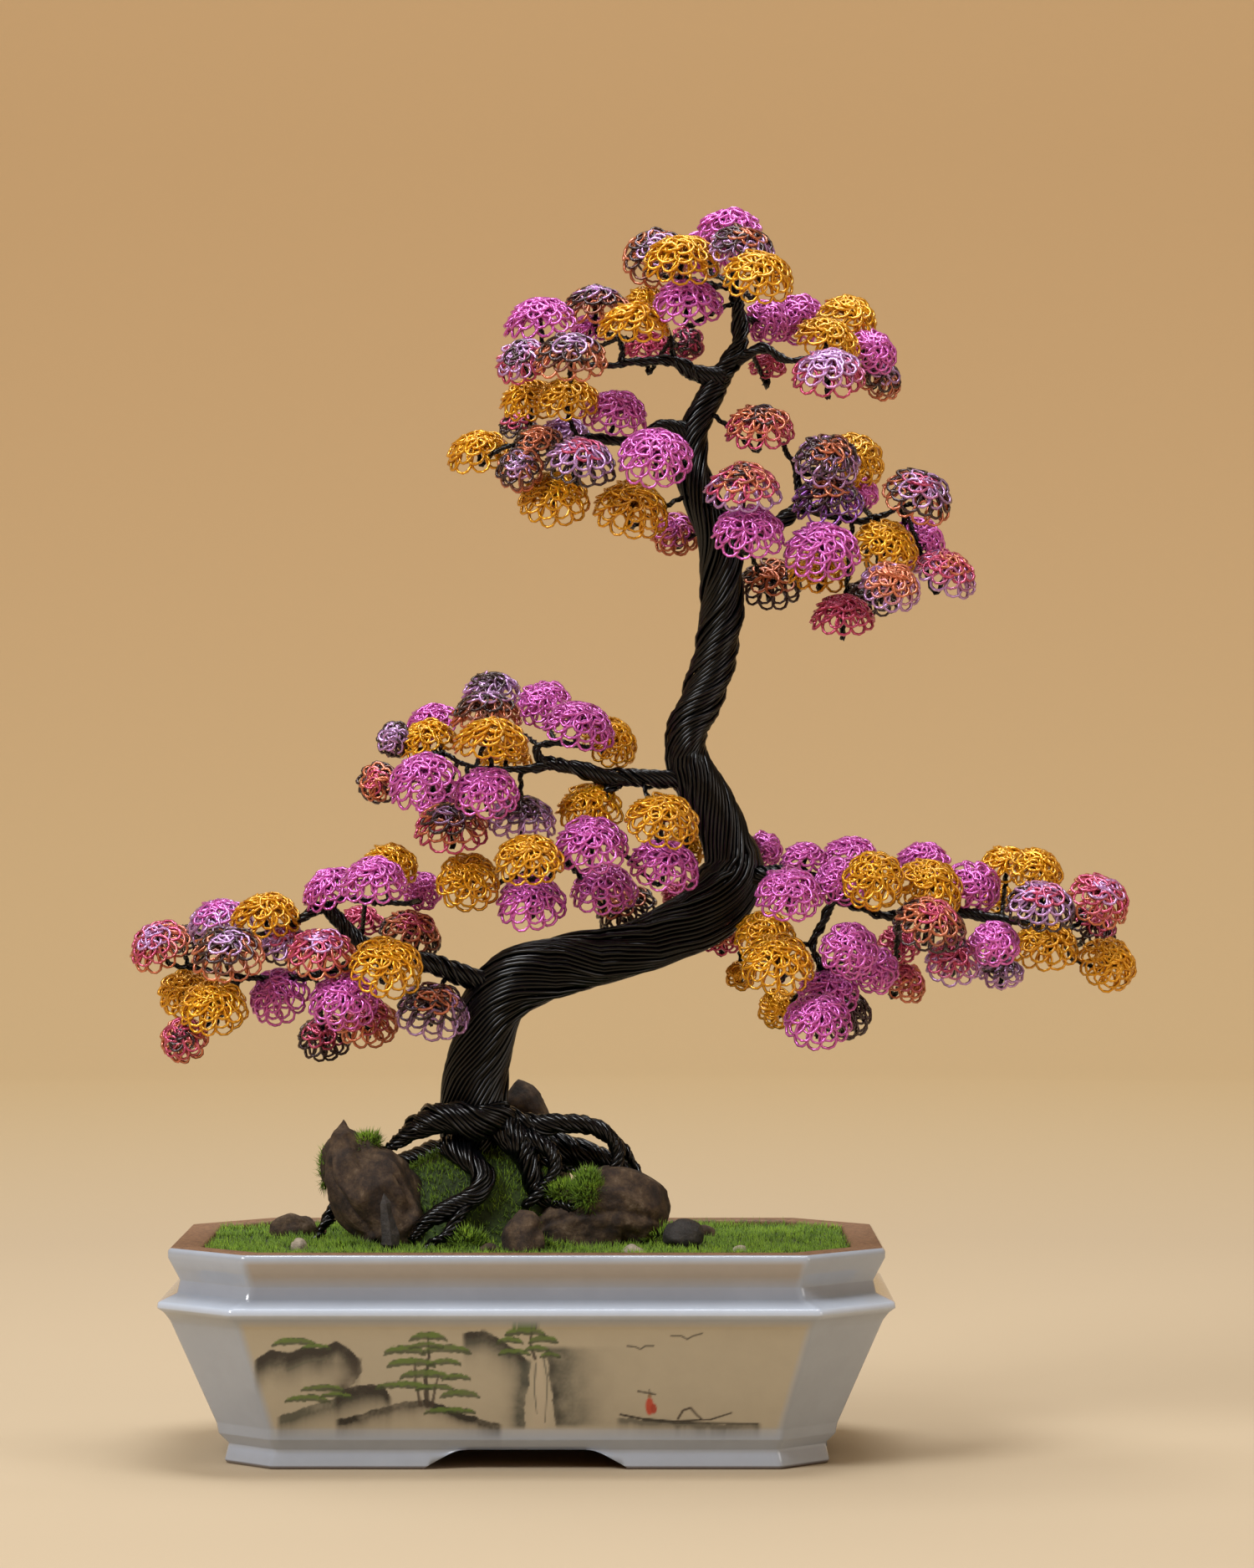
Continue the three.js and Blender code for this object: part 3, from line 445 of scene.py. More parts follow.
ROOTS = [
    [(605, 1335, 44, -6), (575, 1342, 44, -15), (530, 1336, 42, -15), (500, 1346, 34, -11),
     (480, 1362, 24, -9), (455, 1378, 12, -8)],
    [(590, 1335, 40, -4), (640, 1345, 32, -8), (680, 1343, 28, -9), (716, 1349, 25, -9), (737, 1370, 22, -9),
     (737, 1392, 19, -10), (724, 1415, 14, -12)],
    [(716, 1349, 22, -8), (740, 1368, 18, -6), (757, 1388, 14, -5), (769, 1414, 10, -6)],
    [(600, 1345, 50, -8), (622, 1368, 42, -12), (634, 1395, 32, -14), (640, 1425, 24, -16)],
    [(630, 1358, 26, -12), (660, 1378, 22, -16), (664, 1398, 20, -17), (650, 1420, 18, -18),
     (628, 1444, 14, -20)],
    [(540, 1366, 40, -8), (562, 1386, 34, -17), (580, 1406, 32, -22), (573, 1426, 32, -25),
     (543, 1441, 30, -28), (512, 1460, 24, -31), (490, 1482, 16, -33)],
    [(560, 1432, 22, -26), (540, 1470, 16, -35), (506, 1494, 10, -39)],
    [(545, 1370, 34, 10), (480, 1392, 30, 17), (425, 1420, 26, 15), (396, 1452, 20, 6), (374, 1488, 12, -2)],
    [(636, 1385, 14, -12), (672, 1396, 10, -13), (712, 1406, 8, -15)],
    [(610, 1415, 26, -8), (655, 1434, 22, -16), (690, 1447, 14, -22)],
    [(600, 1352, 50, 8), (652, 1372, 46, 8), (704, 1382, 36, 7), (742, 1392, 24, 5), (764, 1412, 14, 3)],
    [(560, 1380, 44, 12), (530, 1420, 34, 30), (500, 1475, 18, 46)],
    [(590, 1400, 40, 12), (620, 1425, 30, 32), (660, 1480, 16, 44)]]

BRANCHES = {
    "branch_crown_right": [
        [(880, 430, 20, 3), (915, 416, 16, 0), (940, 430, 14, -2), (965, 428, 11, -3), (1000, 420, 8, -4),
         (1030, 412, 6, -4)]],
    "branch_crown_left": [
        [(866, 452, 28, 2), (832, 446, 24, 0), (808, 432, 18, -1), (780, 431, 15, -2), (745, 434, 14, -3),
         (725, 437, 12, -3), (690, 432, 9, -4), (650, 425, 7, -4)],
        [(808, 432, 12, -1), (800, 395, 8, -1)], [(745, 434, 10, -3), (742, 402, 7, -3)]],
    "branch_upper_left": [
        [(835, 522, 28, 0), (795, 510, 22, -3), (765, 522, 18, -5), (735, 527, 16, -6), (705, 522, 14, -6),
         (670, 530, 10, -7), (620, 530, 8, -8), (590, 540, 6, -8)]],
    "branch_upper_right": [
        [(858, 656, 30, 2), (900, 640, 24, -1), (930, 625, 22, -3), (955, 608, 20, -4), (985, 612, 14, -5),
         (1020, 622, 12, -6), (1050, 618, 10, -6), (1080, 603, 8, -7)],
        [(955, 606, 16, -4), (955, 575, 13, -3), (947, 550, 9, -2), (935, 530, 7, -2)]],
    "branch_mid_left": [
        [(828, 930, 34, 0), (800, 930, 28, -3), (760, 931, 26, -7), (720, 927, 24, -9), (690, 918, 21, -10),
         (660, 914, 18, -10), (630, 919, 14, -11), (600, 919, 12, -12), (560, 915, 9, -12),
         (530, 900, 7, -12)],
        [(665, 914, 17, -10), (645, 905, 15, -11), (643, 894, 13, -11), (668, 888, 12, -9),
         (700, 893, 9, -8)],
        [(745, 930, 20, -8), (722, 948, 15, -9), (700, 990, 10, -10), (668, 1030, 8, -10)]],
    "branch_low_left": [
        [(600, 1182, 40, 0), (578, 1172, 30, -3), (545, 1164, 28, -6), (515, 1152, 26, -8),
         (485, 1142, 24, -9),
         (450, 1135, 22, -10), (425, 1122, 22, -10), (405, 1100, 20, -11), (388, 1084, 19, -11),
         (370, 1092, 16, -12), (350, 1103, 12, -12), (300, 1120, 9, -13)],
        [(392, 1085, 15, -11), (408, 1073, 12, -9), (440, 1077, 11, -8), (490, 1080, 8, -8)],
        [(455, 1137, 16, -10), (380, 1165, 12, -13), (330, 1170, 10, -14), (290, 1168, 9, -14)]],
    "branch_low_right": [
        [(885, 1050, 34, 4), (915, 1045, 24, 0), (945, 1041, 20, -3), (975, 1050, 18, -5),
         (1000, 1070, 18, -6),
         (1030, 1085, 15, -7), (1070, 1095, 14, -8), (1110, 1092, 15, -9), (1150, 1091, 17, -9),
         (1190, 1098, 17, -10), (1220, 1102, 14, -10), (1260, 1112, 10, -11), (1285, 1148, 8, -12)],
        [(998, 1068, 15, -6), (986, 1100, 14, -8), (972, 1128, 13, -9), (982, 1155, 10, -10)]],
}

# Foliage pads: px, py, half width and half height in pixels, lean to the right in degrees,
# depth in millimetres, and the wire: gold, orchid, or the colours a changing wire passes
# through from the middle outwards (L lilac, R rose, C copper, D dark brown, V violet).
Pad = namedtuple("Pad", "px py half_width half_height lean depth wire")
FRONT, NEAR, MID, BACK, REAR = -34, -12, 2, 22, 50
SPRAYS = {
    "spray_crown_top": ("trunk", [
        Pad(873, 268, 42, 17, 0, MID, "O"), Pad(888, 297, 42, 25, 15, NEAR, "CDL"),
        Pad(785, 308, 42, 37, 0, BACK, "LDC"), Pad(815, 311, 50, 29, 0, NEAR, "G"),
        Pad(850, 300, 38, 26, 180, REAR, "O")]),
    "spray_crown_middle": ("trunk", [
        Pad(822, 362, 45, 27, 0, NEAR, "O"), Pad(907, 332, 45, 32, 10, FRONT, "G"),
        Pad(918, 385, 28, 35, 0, BACK, "O"), Pad(955, 380, 33, 42, 10, BACK, "O")]),
    "spray_crown_right_upper": ("branch_crown_right", [
        Pad(1015, 378, 38, 25, 20, MID, "G"), Pad(990, 408, 42, 24, 25, NEAR, "G"),
        Pad(1045, 418, 30, 24, 35, NEAR, "O"), Pad(1052, 452, 28, 22, 40, MID, "LDC")]),
    "spray_crown_right_lower": ("branch_crown_right", [Pad(990, 448, 46, 28, 0, FRONT, "LLR")]),
    "spray_crown_left_upper": ("branch_crown_left", [
        Pad(645, 382, 45, 21, -10, MID, "O"), Pad(712, 360, 42, 20, 0, MID, "LDC"),
        Pad(758, 386, 45, 21, 0, NEAR, "G")]),
    "spray_crown_left_lower": ("branch_crown_left", [
        Pad(682, 427, 46, 28, 0, FRONT, "LDC"), Pad(625, 433, 33, 25, -25, NEAR, "DLR"),
        Pad(775, 412, 32, 12, 0, BACK, "R")]),
    "spray_upper_left_top": ("branch_upper_left", [
        Pad(632, 478, 35, 25, -10, MID, "G"), Pad(680, 477, 38, 24, 0, NEAR, "G"),
        Pad(735, 493, 42, 25, 10, NEAR, "O")]),
    "spray_upper_left_tip": ("branch_upper_left", [
        Pad(572, 540, 40, 22, -10, MID, "G"), Pad(622, 563, 28, 30, -15, NEAR, "LDC"),
        Pad(645, 530, 32, 20, 0, NEAR, "CD")]),
    "spray_upper_left_middle": ("branch_upper_left", [
        Pad(675, 515, 33, 14, 0, MID, "L"), Pad(695, 552, 44, 28, 10, FRONT, "RLD"),
        Pad(663, 596, 44, 33, 0, NEAR, "G")]),
    "spray_upper_left_inner": ("trunk", [
        Pad(784, 547, 47, 36, 0, FRONT, "O"), Pad(755, 609, 48, 35, 10, NEAR, "G"),
        Pad(808, 638, 30, 26, 0, BACK, "OC")]),
    "spray_upper_right_crown": ("trunk", [Pad(908, 511, 43, 25, 0, NEAR, "DCR")]),
    "spray_upper_right_inner": ("trunk", [
        Pad(888, 583, 48, 28, 0, FRONT, "DCRL"), Pad(895, 636, 45, 32, 0, FRONT, "O")]),
    "spray_upper_right_top": ("branch_upper_right", [
        Pad(1022, 552, 38, 38, 45, BACK, "G"), Pad(990, 550, 42, 32, 10, NEAR, "CDL"),
        Pad(990, 598, 45, 28, 0, NEAR, "CDV")]),
    "spray_upper_right_front": ("branch_upper_right", [
        Pad(983, 659, 48, 36, 0, FRONT, "O"), Pad(980, 682, 40, 24, 0, MID, "G"),
        Pad(1008, 735, 40, 22, 0, NEAR, "R"), Pad(1040, 715, 35, 22, 0, BACK, "D"),
        Pad(922, 698, 38, 30, 0, BACK, "CD")]),
    "spray_upper_right_tip": ("branch_upper_right", [
        Pad(1060, 655, 41, 33, 25, NEAR, "G"), Pad(1098, 593, 45, 31, 25, NEAR, "RLDC"),
        Pad(1098, 648, 34, 33, 35, MID, "O")]),
    "spray_upper_right_low": ("branch_upper_right", [
        Pad(1132, 684, 40, 24, 25, NEAR, "CRL"), Pad(1065, 700, 38, 28, 20, FRONT, "CCL")]),
    "spray_mid_left_top": ("branch_mid_left", [
        Pad(588, 825, 36, 20, 0, BACK, "DL"), Pad(582, 849, 45, 17, 0, MID, "LDC"),
        Pad(652, 842, 34, 27, 0, BACK, "O"), Pad(693, 867, 45, 26, 15, NEAR, "O"),
        Pad(730, 886, 36, 26, 35, MID, "G")]),
    "spray_mid_left_tip_upper": ("branch_mid_left", [
        Pad(515, 865, 34, 20, -25, BACK, "O"), Pad(472, 884, 20, 20, -50, MID, "LD"),
        Pad(510, 884, 36, 20, -15, MID, "G"), Pad(452, 935, 24, 33, -55, BACK, "RCD")]),
    "spray_mid_left_tip_lower": ("branch_mid_left", [Pad(505, 932, 46, 30, -20, FRONT, "O")]),
    "spray_mid_left_middle": ("branch_mid_left", [
        Pad(587, 882, 47, 19, 0, FRONT, "G"), Pad(582, 947, 41, 30, 0, FRONT, "O")]),
    "spray_mid_left_under": ("branch_mid_left", [
        Pad(525, 958, 28, 25, 0, BACK, "O"), Pad(540, 988, 46, 28, 0, NEAR, "LDCR"),
        Pad(560, 1054, 40, 35, 0, NEAR, "G"), Pad(635, 1078, 44, 32, 0, NEAR, "O")]),
    "spray_mid_left_centre": ("branch_mid_left", [
        Pad(625, 978, 43, 24, 5, NEAR, "DL"), Pad(633, 1027, 43, 28, 0, FRONT, "G")]),
    "spray_mid_left_small": ("branch_mid_left", [Pad(705, 966, 40, 28, 0, NEAR, "G")]),
    "spray_mid_left_inner": ("branch_mid_left", [
        Pad(707, 1010, 46, 33, 0, FRONT, "O"), Pad(722, 1062, 42, 28, 0, MID, "O"),
        Pad(748, 1085, 38, 24, -25, BACK, "CD")]),
    "spray_mid_left_trunk": ("branch_mid_left", [
        Pad(793, 980, 47, 30, 10, FRONT, "G"), Pad(795, 1034, 45, 29, 15, NEAR, "O")]),
    "spray_low_left_top": ("branch_low_left", [
        Pad(468, 1032, 34, 21, 15, MID, "G"), Pad(447, 1052, 42, 25, 0, FRONT, "O"),
        Pad(393, 1062, 36, 20, -25, NEAR, "O")]),
    "spray_low_left_inner": ("branch_low_left", [
        Pad(492, 1115, 40, 24, 20, BACK, "RCD"), Pad(430, 1100, 28, 14, 0, BACK, "R"),
        Pad(463, 1155, 46, 35, 15, FRONT, "G"), Pad(518, 1208, 46, 32, 10, NEAR, "CDL")]),
    "spray_low_left_outer_top": ("branch_low_left", [
        Pad(318, 1093, 44, 22, 0, NEAR, "G"), Pad(262, 1100, 42, 22, -10, MID, "OL")]),
    "spray_low_left_tip": ("branch_low_left", [
        Pad(190, 1130, 38, 26, -25, NEAR, "LRC"), Pad(222, 1187, 34, 29, -15, MID, "G"),
        Pad(256, 1204, 42, 31, 0, FRONT, "G"), Pad(220, 1242, 28, 26, -30, FRONT, "DRC")]),
    "spray_low_left_middle": ("branch_low_left", [
        Pad(272, 1140, 46, 31, 0, FRONT, "LDC"), Pad(340, 1128, 30, 22, 0, NEAR, "RLD"),
        Pad(333, 1190, 38, 32, -25, NEAR, "O")]),
    "spray_low_left_front": ("branch_low_left", [
        Pad(383, 1140, 45, 27, 0, FRONT, "LRC"), Pad(411, 1196, 43, 33, 0, FRONT, "O"),
        Pad(440, 1222, 38, 28, 0, MID, "RC"), Pad(388, 1240, 32, 25, 0, BACK, "RD")]),
    "spray_low_right_top": ("branch_low_right", [
        Pad(962, 1024, 28, 13, 0, MID, "O"), Pad(1018, 1020, 34, 17, 0, MID, "O"),
        Pad(1005, 1052, 32, 28, -10, NEAR, "O")]),
    "spray_low_right_inner": ("branch_low_right", [
        Pad(943, 1068, 41, 31, 0, FRONT, "O"), Pad(915, 1118, 38, 28, 0, NEAR, "G"),
        Pad(930, 1152, 47, 34, 0, FRONT, "G"), Pad(862, 1120, 25, 18, 0, BACK, "CR")]),
    "spray_low_right_hanging": ("branch_low_right", [
        Pad(990, 1186, 38, 25, 0, NEAR, "O"), Pad(978, 1220, 42, 32, 0, FRONT, "O"),
        Pad(1010, 1212, 32, 30, 0, MID, "D")]),
    "spray_low_right_middle": ("branch_low_right", [
        Pad(1045, 1052, 38, 42, 0, FRONT, "G"), Pad(1015, 1135, 36, 33, 0, FRONT, "O"),
        Pad(1045, 1158, 30, 32, 30, NEAR, "O"), Pad(1080, 1172, 30, 20, 30, BACK, "RC"),
        Pad(1075, 1128, 25, 20, 0, BACK, "R")]),
    "spray_low_right_centre": ("branch_low_right", [
        Pad(1110, 1062, 44, 36, 25, NEAR, "G"), Pad(1105, 1026, 34, 15, 0, MID, "O"),
        Pad(1163, 1060, 34, 31, 40, MID, "O"), Pad(1112, 1105, 46, 30, 15, FRONT, "RCD")]),
    "spray_low_right_lower": ("branch_low_right", [
        Pad(1140, 1148, 36, 27, 0, NEAR, "RRL"), Pad(1190, 1127, 30, 26, 0, FRONT, "O"),
        Pad(1197, 1160, 26, 18, 0, MID, "DL")]),
    "spray_low_right_outer": ("branch_low_right", [
        Pad(1205, 1033, 33, 18, 0, MID, "G"), Pad(1240, 1040, 33, 25, 20, NEAR, "G"),
        Pad(1245, 1083, 43, 28, 5, FRONT, "RLD"), Pad(1250, 1130, 42, 27, 0, NEAR, "G")]),
    "spray_low_right_tip": ("branch_low_right", [
        Pad(1315, 1075, 40, 28, 25, NEAR, "LRC"), Pad(1305, 1108, 34, 20, 30, MID, "RD"),
        Pad(1325, 1152, 36, 30, 35, NEAR, "G")]),
}

# Small filler pads behind the others, too small for solids of their own
FILLERS = [
    ("branch_crown_left", Pad(772, 357, 22, 13, 0, BACK, "G")),
    ("branch_crown_left", Pad(705, 392, 22, 13, 0, BACK, "O")),
    ("branch_crown_right", Pad(918, 436, 20, 12, 0, BACK, "R")),
    ("branch_crown_left", Pad(822, 410, 19, 24, 50, BACK, "DR")),
    ("branch_upper_left", Pad(620, 508, 22, 12, 0, BACK, "RD")),
    ("branch_upper_right", Pad(1030, 590, 18, 22, 0, BACK, "O")),
    ("branch_mid_left", Pad(605, 903, 32, 12, 0, MID, "G")),
    ("branch_mid_left", Pad(822, 1012, 22, 22, 0, BACK, "G")),
    ("branch_mid_left", Pad(812, 1068, 18, 10, 0, BACK, "R")),
    ("branch_low_left", Pad(505, 1065, 22, 28, 0, BACK, "O")),
    ("branch_low_left", Pad(222, 1122, 24, 13, 0, BACK, "D")),
    ("branch_low_right", Pad(915, 1015, 20, 18, 40, BACK, "O")),
    ("branch_low_right", Pad(886, 1165, 14, 14, 0, BACK, "G")),
    ("branch_low_right", Pad(932, 1205, 24, 28, 0, BACK, "G")),
    ("branch_low_right", Pad(1195, 1072, 16, 12, 0, BACK, "G")),
]

WIRE_COLOURS = {code: linear(value) for code, value in {
    "G": "#df9c06", "O": "#d565bf", "L": "#c193cc", "R": "#c64a72", "C": "#cc7450", "D": "#3c272b",
    "V": "#8749a4"}.items()}


# Bundles of black wire

# A direction that no bundle or rock runs along, to hang its cross directions on
LINE_HINT = (0.12, 1.0, 0.2)


def bundle(shapes, readings, lays, seed, wire, lobes=3, groove=0.07):
    """A twisted bundle. Each wire is a helix on the bundle's skin: its angle is its share
    of the turn plus the twist so far, the twist growing by tan(lay) over the radius. Wires
    come up from the core where the bundle is thick enough to hold one more. The skin sinks
    by (1 - |cos|) into grooves between lobes, which wind with the wires."""
    chance = np.random.default_rng(seed)
    step = np.clip(0.36 * measured(readings)[1].mean(), 1.3, 3.2)
    curve = line_of(readings, step)
    spine, radius = curve[:, :3], np.maximum(curve[:, 3], 0.75 * wire)
    first, second = sides_of(spine, LINE_HINT)
    length = length_along(spine)
    lay = np.interp(length / length[-1], np.linspace(0, 1, len(lays)), lays)
    rate = np.tan(np.radians(lay)) / radius
    twist = np.concatenate([[0], np.cumsum(0.5 * (rate[1:] + rate[:-1]) * np.diff(length))])
    room = np.maximum(2 * np.pi * (radius - 0.4 * wire) / (wire * 1.04), 3)
    most = int(np.ceil(room.max()))
    order = chance.permutation(most)
    here = np.clip(room[:, None] - order[None, :], 0, 1)
    share = (np.cumsum(here, axis=1) - here / 2) / here.sum(axis=1, keepdims=True)
    around = 2 * np.pi * share
    sunk = 2 * groove * (1 - np.abs(np.cos(lobes * around / 2))) ** 1.4
    phase = chance.uniform(0, 6.3, most)[None, :]
    offset = chance.uniform(-0.5, 0.14, most)[None, :]
    wander = wire * (offset + 0.2 * np.sin(length[:, None] / (8 * wire) + phase))
    away = (radius[:, None] - wire / 2) * (1 - sunk) - 0.8 * wire * (1 - here) + wander
    out = swing((around + twist[:, None])[..., None], first[:, None], second[:, None])
    paths = spine[:, None] + away[..., None] * out
    for j in range(most):
        shown = np.concatenate([[False], here[:, j] > 0.02, [False]])
        edges = np.flatnonzero(np.diff(shown.astype(int)))
        for start, stop in zip(edges[::2], edges[1::2]):
            if stop - start > 3:
                tube(shapes, paths[start:stop, j], out[start:stop, j], wire / 2, WIRE_SIDES)
    if radius.max() > 1.6 * wire:
        coarse = np.unique(np.linspace(0, len(spine) - 1, max(len(spine) // 2, 4)).astype(int))
        core = np.maximum(radius[coarse] * (1 - 2 * groove) - 1.05 * wire, 0.3)
        tube(shapes, spine[coarse], first[coarse], core, 10)


def spots_along(readings, count=61):
    """Points and radii along a bundle's smooth line, for whatever hangs on it."""
    curve = line_of(readings, 1.5)
    return curve[np.linspace(0, len(curve) - 1, count).astype(int)]


# Lay of the trunk's wires in degrees, evenly spaced from its foot to its top
TRUNK_LAYS = (36, 36, 30, 23, 20, 24, 30, 38, 46, 42, 18, 28, 42, 46)
TRUNK_WIRE, ROOT_WIRE, ROPE_WIRE = 1.75, 1.9, 1.7
WIRE_SIDES = 5


def build_trunk():
    wires = Bin()
    bundle(wires, TRUNK, TRUNK_LAYS, seed=5, wire=TRUNK_WIRE)
    for i, readings in enumerate(ROOTS):
        bundle(wires, readings, (44, 52), lobes=4, seed=20 + i, wire=ROOT_WIRE)
    return finished(wires.mesh("trunk_and_roots", BLACK_WIRE), "black_wire", "trunk")


def build_branches():
    for i, (name, ropes) in enumerate(BRANCHES.items()):
        wires = Bin()
        for k, readings in enumerate(ropes):
            bundle(wires, readings, (47, 45), lobes=5, seed=60 + 10 * i + k, wire=ROPE_WIRE)
        finished(wires.mesh(name + "_wires", BLACK_WIRE), "black_wire", name)


# Foliage pads

DOME_HEIGHT = 0.6
LOOP_LENGTH, LOOP_WIDTH = 8.6, 6.7
LOOP_WIRE = 1.22
LOOP_SEGMENTS = 11
FULL_PAD = 14.0
# How far in front of and behind the pot's middle a pad may be moved
FOREMOST, REARMOST = -72, 74
# Rows of loops from a pad's crown to its rim: share of the radius, share of the height,
# droop of the loop below level in degrees, and number of loops on a full pad.
LOOP_ROWS = [(0.10, 1.04, 4, 2), (0.31, 0.98, 15, 6), (0.52, 0.82, 28, 9), (0.68, 0.56, 41, 12),
             (0.76, 0.22, 55, 12)]

Dome = namedtuple("Dome", "name carrier pad radius height axis base")


def dome_of(name, carrier, pad):
    """Size and tilt of a pad. A dome whose height is 0.6 of its radius shows a half height
    that grows as its face tips forward, and the tilt's sine solves that quadratic."""
    radius = pad.half_width * scale_at(pad.depth)
    part = max(pad.half_height / pad.half_width, 0.28)
    q = DOME_HEIGHT ** 2
    sine = (2 * part - math.sqrt(4 * part ** 2 - q * (4 * part ** 2 - q))) / q
    sine = min(max(sine, 0), 0.92)
    cosine = math.sqrt(1 - sine ** 2)
    rear = pad.depth >= REAR
    roll = 0.0 if rear else math.radians(pad.lean)
    axis = np.array([math.sin(roll) * cosine, sine if rear else -sine, math.cos(roll) * cosine])
    lift = radius * (math.sqrt(sine ** 2 + q * cosine ** 2) - sine) / 2
    base = place(pad.px, pad.py, pad.depth) - lift * np.array([math.sin(roll), 0, math.cos(roll)])
    return Dome(name, carrier, pad, radius, radius * min(DOME_HEIGHT, 2 * part), axis, base)


def spread_in_depth(domes):
    """Pads that would cut into each other are moved apart in depth, a little at a time."""
    bases = np.array([dome.base for dome in domes])
    axes = np.array([dome.axis for dome in domes])
    radii = np.array([dome.radius for dome in domes])
    heights = np.array([dome.height for dome in domes])
    for _ in range(90):
        for i in range(len(domes)):
            for j in range(i + 1, len(domes)):
                apart = bases[j] - bases[i]
                reach = radii[i] + radii[j]
                if apart @ apart >= reach * reach:
                    continue
                axis = unit(axes[i] + axes[j])
                rise = abs(apart @ axis)
                spread = math.sqrt(max(apart @ apart - rise ** 2, 0))
                if math.hypot(spread / reach, rise / (0.5 * (heights[i] + heights[j]) + 1.5)) < 1:
                    push = 0.7 if apart[1] >= 0 else -0.7
                    bases[i, 1] = max(bases[i, 1] - push, POT_Y + FOREMOST)
                    bases[j, 1] = min(bases[j, 1] + push, POT_Y + REARMOST)
    return [dome._replace(base=base) for dome, base in zip(domes, bases)]


def wire_tint(wire, along):
    """Colour of the wire at a fraction of its run from the pad's middle to its rim."""
    colours = np.array([WIRE_COLOURS[code] for code in wire])
    where = np.clip(along, 0, 0.999) * len(colours) - 0.5
    low = np.clip(np.floor(where), 0, len(colours) - 1).astype(int)
    high = np.clip(low + 1, 0, len(colours) - 1)
    blend = np.clip((where - low - 0.32) / 0.36, 0, 1)[..., None]
    return colours[low] * (1 - blend) + colours[high] * blend


def loops(shapes, centres, lengthwise, widthwise, lengths, widths, tints, wire=LOOP_WIRE):
    """Closed egg-shaped rings of wire: a point at angle t lies at half the length times
    cos t one way and half the width times sin t, fuller towards the outer end, the other
    way; a square section of points runs round it."""
    t = 2 * np.pi * np.arange(LOOP_SEGMENTS) / LOOP_SEGMENTS
    full = 1 + 0.16 * np.cos(t)
    reach = 0.5 * lengths[:, None] * np.cos(t)
    breadth = 0.5 * widths[:, None] * np.sin(t) * full
    path = centres[:, None] + reach[..., None] * lengthwise[:, None]
    path = path + breadth[..., None] * widthwise[:, None]
    flat = unit(np.cross(lengthwise, widthwise))
    path = path + (0.35 * wire * np.sin(2 * t))[None, :, None] * flat[:, None]
    run = unit(np.roll(path, -1, axis=1) - np.roll(path, 1, axis=1))
    up = np.broadcast_to(flat[:, None], run.shape)
    aside = unit(np.cross(run, up))
    turn = 2 * np.pi * (np.arange(4) + 0.5)[:, None] / 4
    points = path[..., None, :] + swing(turn, up[..., None, :], aside[..., None, :]) * wire / 2
    one = grid_faces(LOOP_SEGMENTS, 4, rows_close=True, columns_close=True)
    faces = one[None] + (np.arange(len(centres)) * LOOP_SEGMENTS * 4)[:, None, None]
    colours = np.broadcast_to(tints[:, None, None, :], points.shape).reshape(-1, 3)
    shapes.put(points, [faces.reshape(-1, 4)], colours)


def build_pad(dome, seed):
    """One pad: rows of loops from crown to rim. A loop's length points out and down by its
    row's droop, so that each row laps over the next like scales, and its width runs round
    the pad. A tail runs from each outer loop to the pad's stem."""
    chance = np.random.default_rng(seed)
    axis = unit(dome.axis)
    first = unit(np.cross(axis, np.array([0.0, 1.0, 0.3])))
    second = np.cross(axis, first)
    wires = Bin()
    shrink = min(max(dome.radius / FULL_PAD, 0.6), 1.08) ** 0.6
    for row, (reach, rise, droop, count) in enumerate(LOOP_ROWS):
        count = max(int(round(count * min(dome.radius / FULL_PAD / shrink, 1.05))), 2)
        spin = (np.arange(count) + 0.5 * (row % 2) + chance.uniform(-0.13, 0.13, count)) * 2 * np.pi / count
        spin = spin + chance.uniform(0, 0.5)
        out = swing(spin[:, None], first, second)
        wide = unit(np.cross(axis, out))
        fall = np.radians(droop + chance.uniform(-7, 7, count))[:, None]
        lengthwise = np.cos(fall) * out - np.sin(fall) * axis
        skin = np.cross(lengthwise, wide)
        roll = np.radians(chance.uniform(-13, 13, count))[:, None]
        widthwise = swing(roll, wide, skin)
        yaw = np.radians(chance.uniform(-8, 8, count))[:, None]
        lengthwise, widthwise = swing(yaw, lengthwise, widthwise), swing(yaw, widthwise, -lengthwise)
        lengths = LOOP_LENGTH * shrink * chance.uniform(0.93, 1.08, count)
        widths = LOOP_WIDTH * shrink * chance.uniform(0.9, 1.08, count)
        centres = dome.base + reach * dome.radius * out + rise * dome.height * axis
        centres = centres + chance.uniform(-0.25, 0.25, (count, 3))
        along = (row + (spin % (2 * np.pi)) / (2 * np.pi)) / len(LOOP_ROWS)
        tints = wire_tint(dome.pad.wire, along) * chance.uniform(0.86, 1.12, (count, 1))
        loops(wires, centres, lengthwise, widthwise, lengths, widths, tints)
        if row >= len(LOOP_ROWS) - 2:
            stem_top = dome.base + 0.1 * dome.height * axis
            for k in range(count):
                inner = centres[k] - 0.5 * lengths[k] * lengthwise[k]
                tail = np.stack([inner, 0.5 * (inner + stem_top) + 0.12 * dome.height * axis, stem_top])
                # Tails lie inside the pad; their colour darkened to 0.7 is painted shade
                tube(wires, tail, np.broadcast_to(skin[k], tail.shape), 0.45 * LOOP_WIRE, 3,
                     np.broadcast_to(0.7 * tints[k], (3, 3)))
    return wires.mesh(dome.name, COLOURED_WIRE)


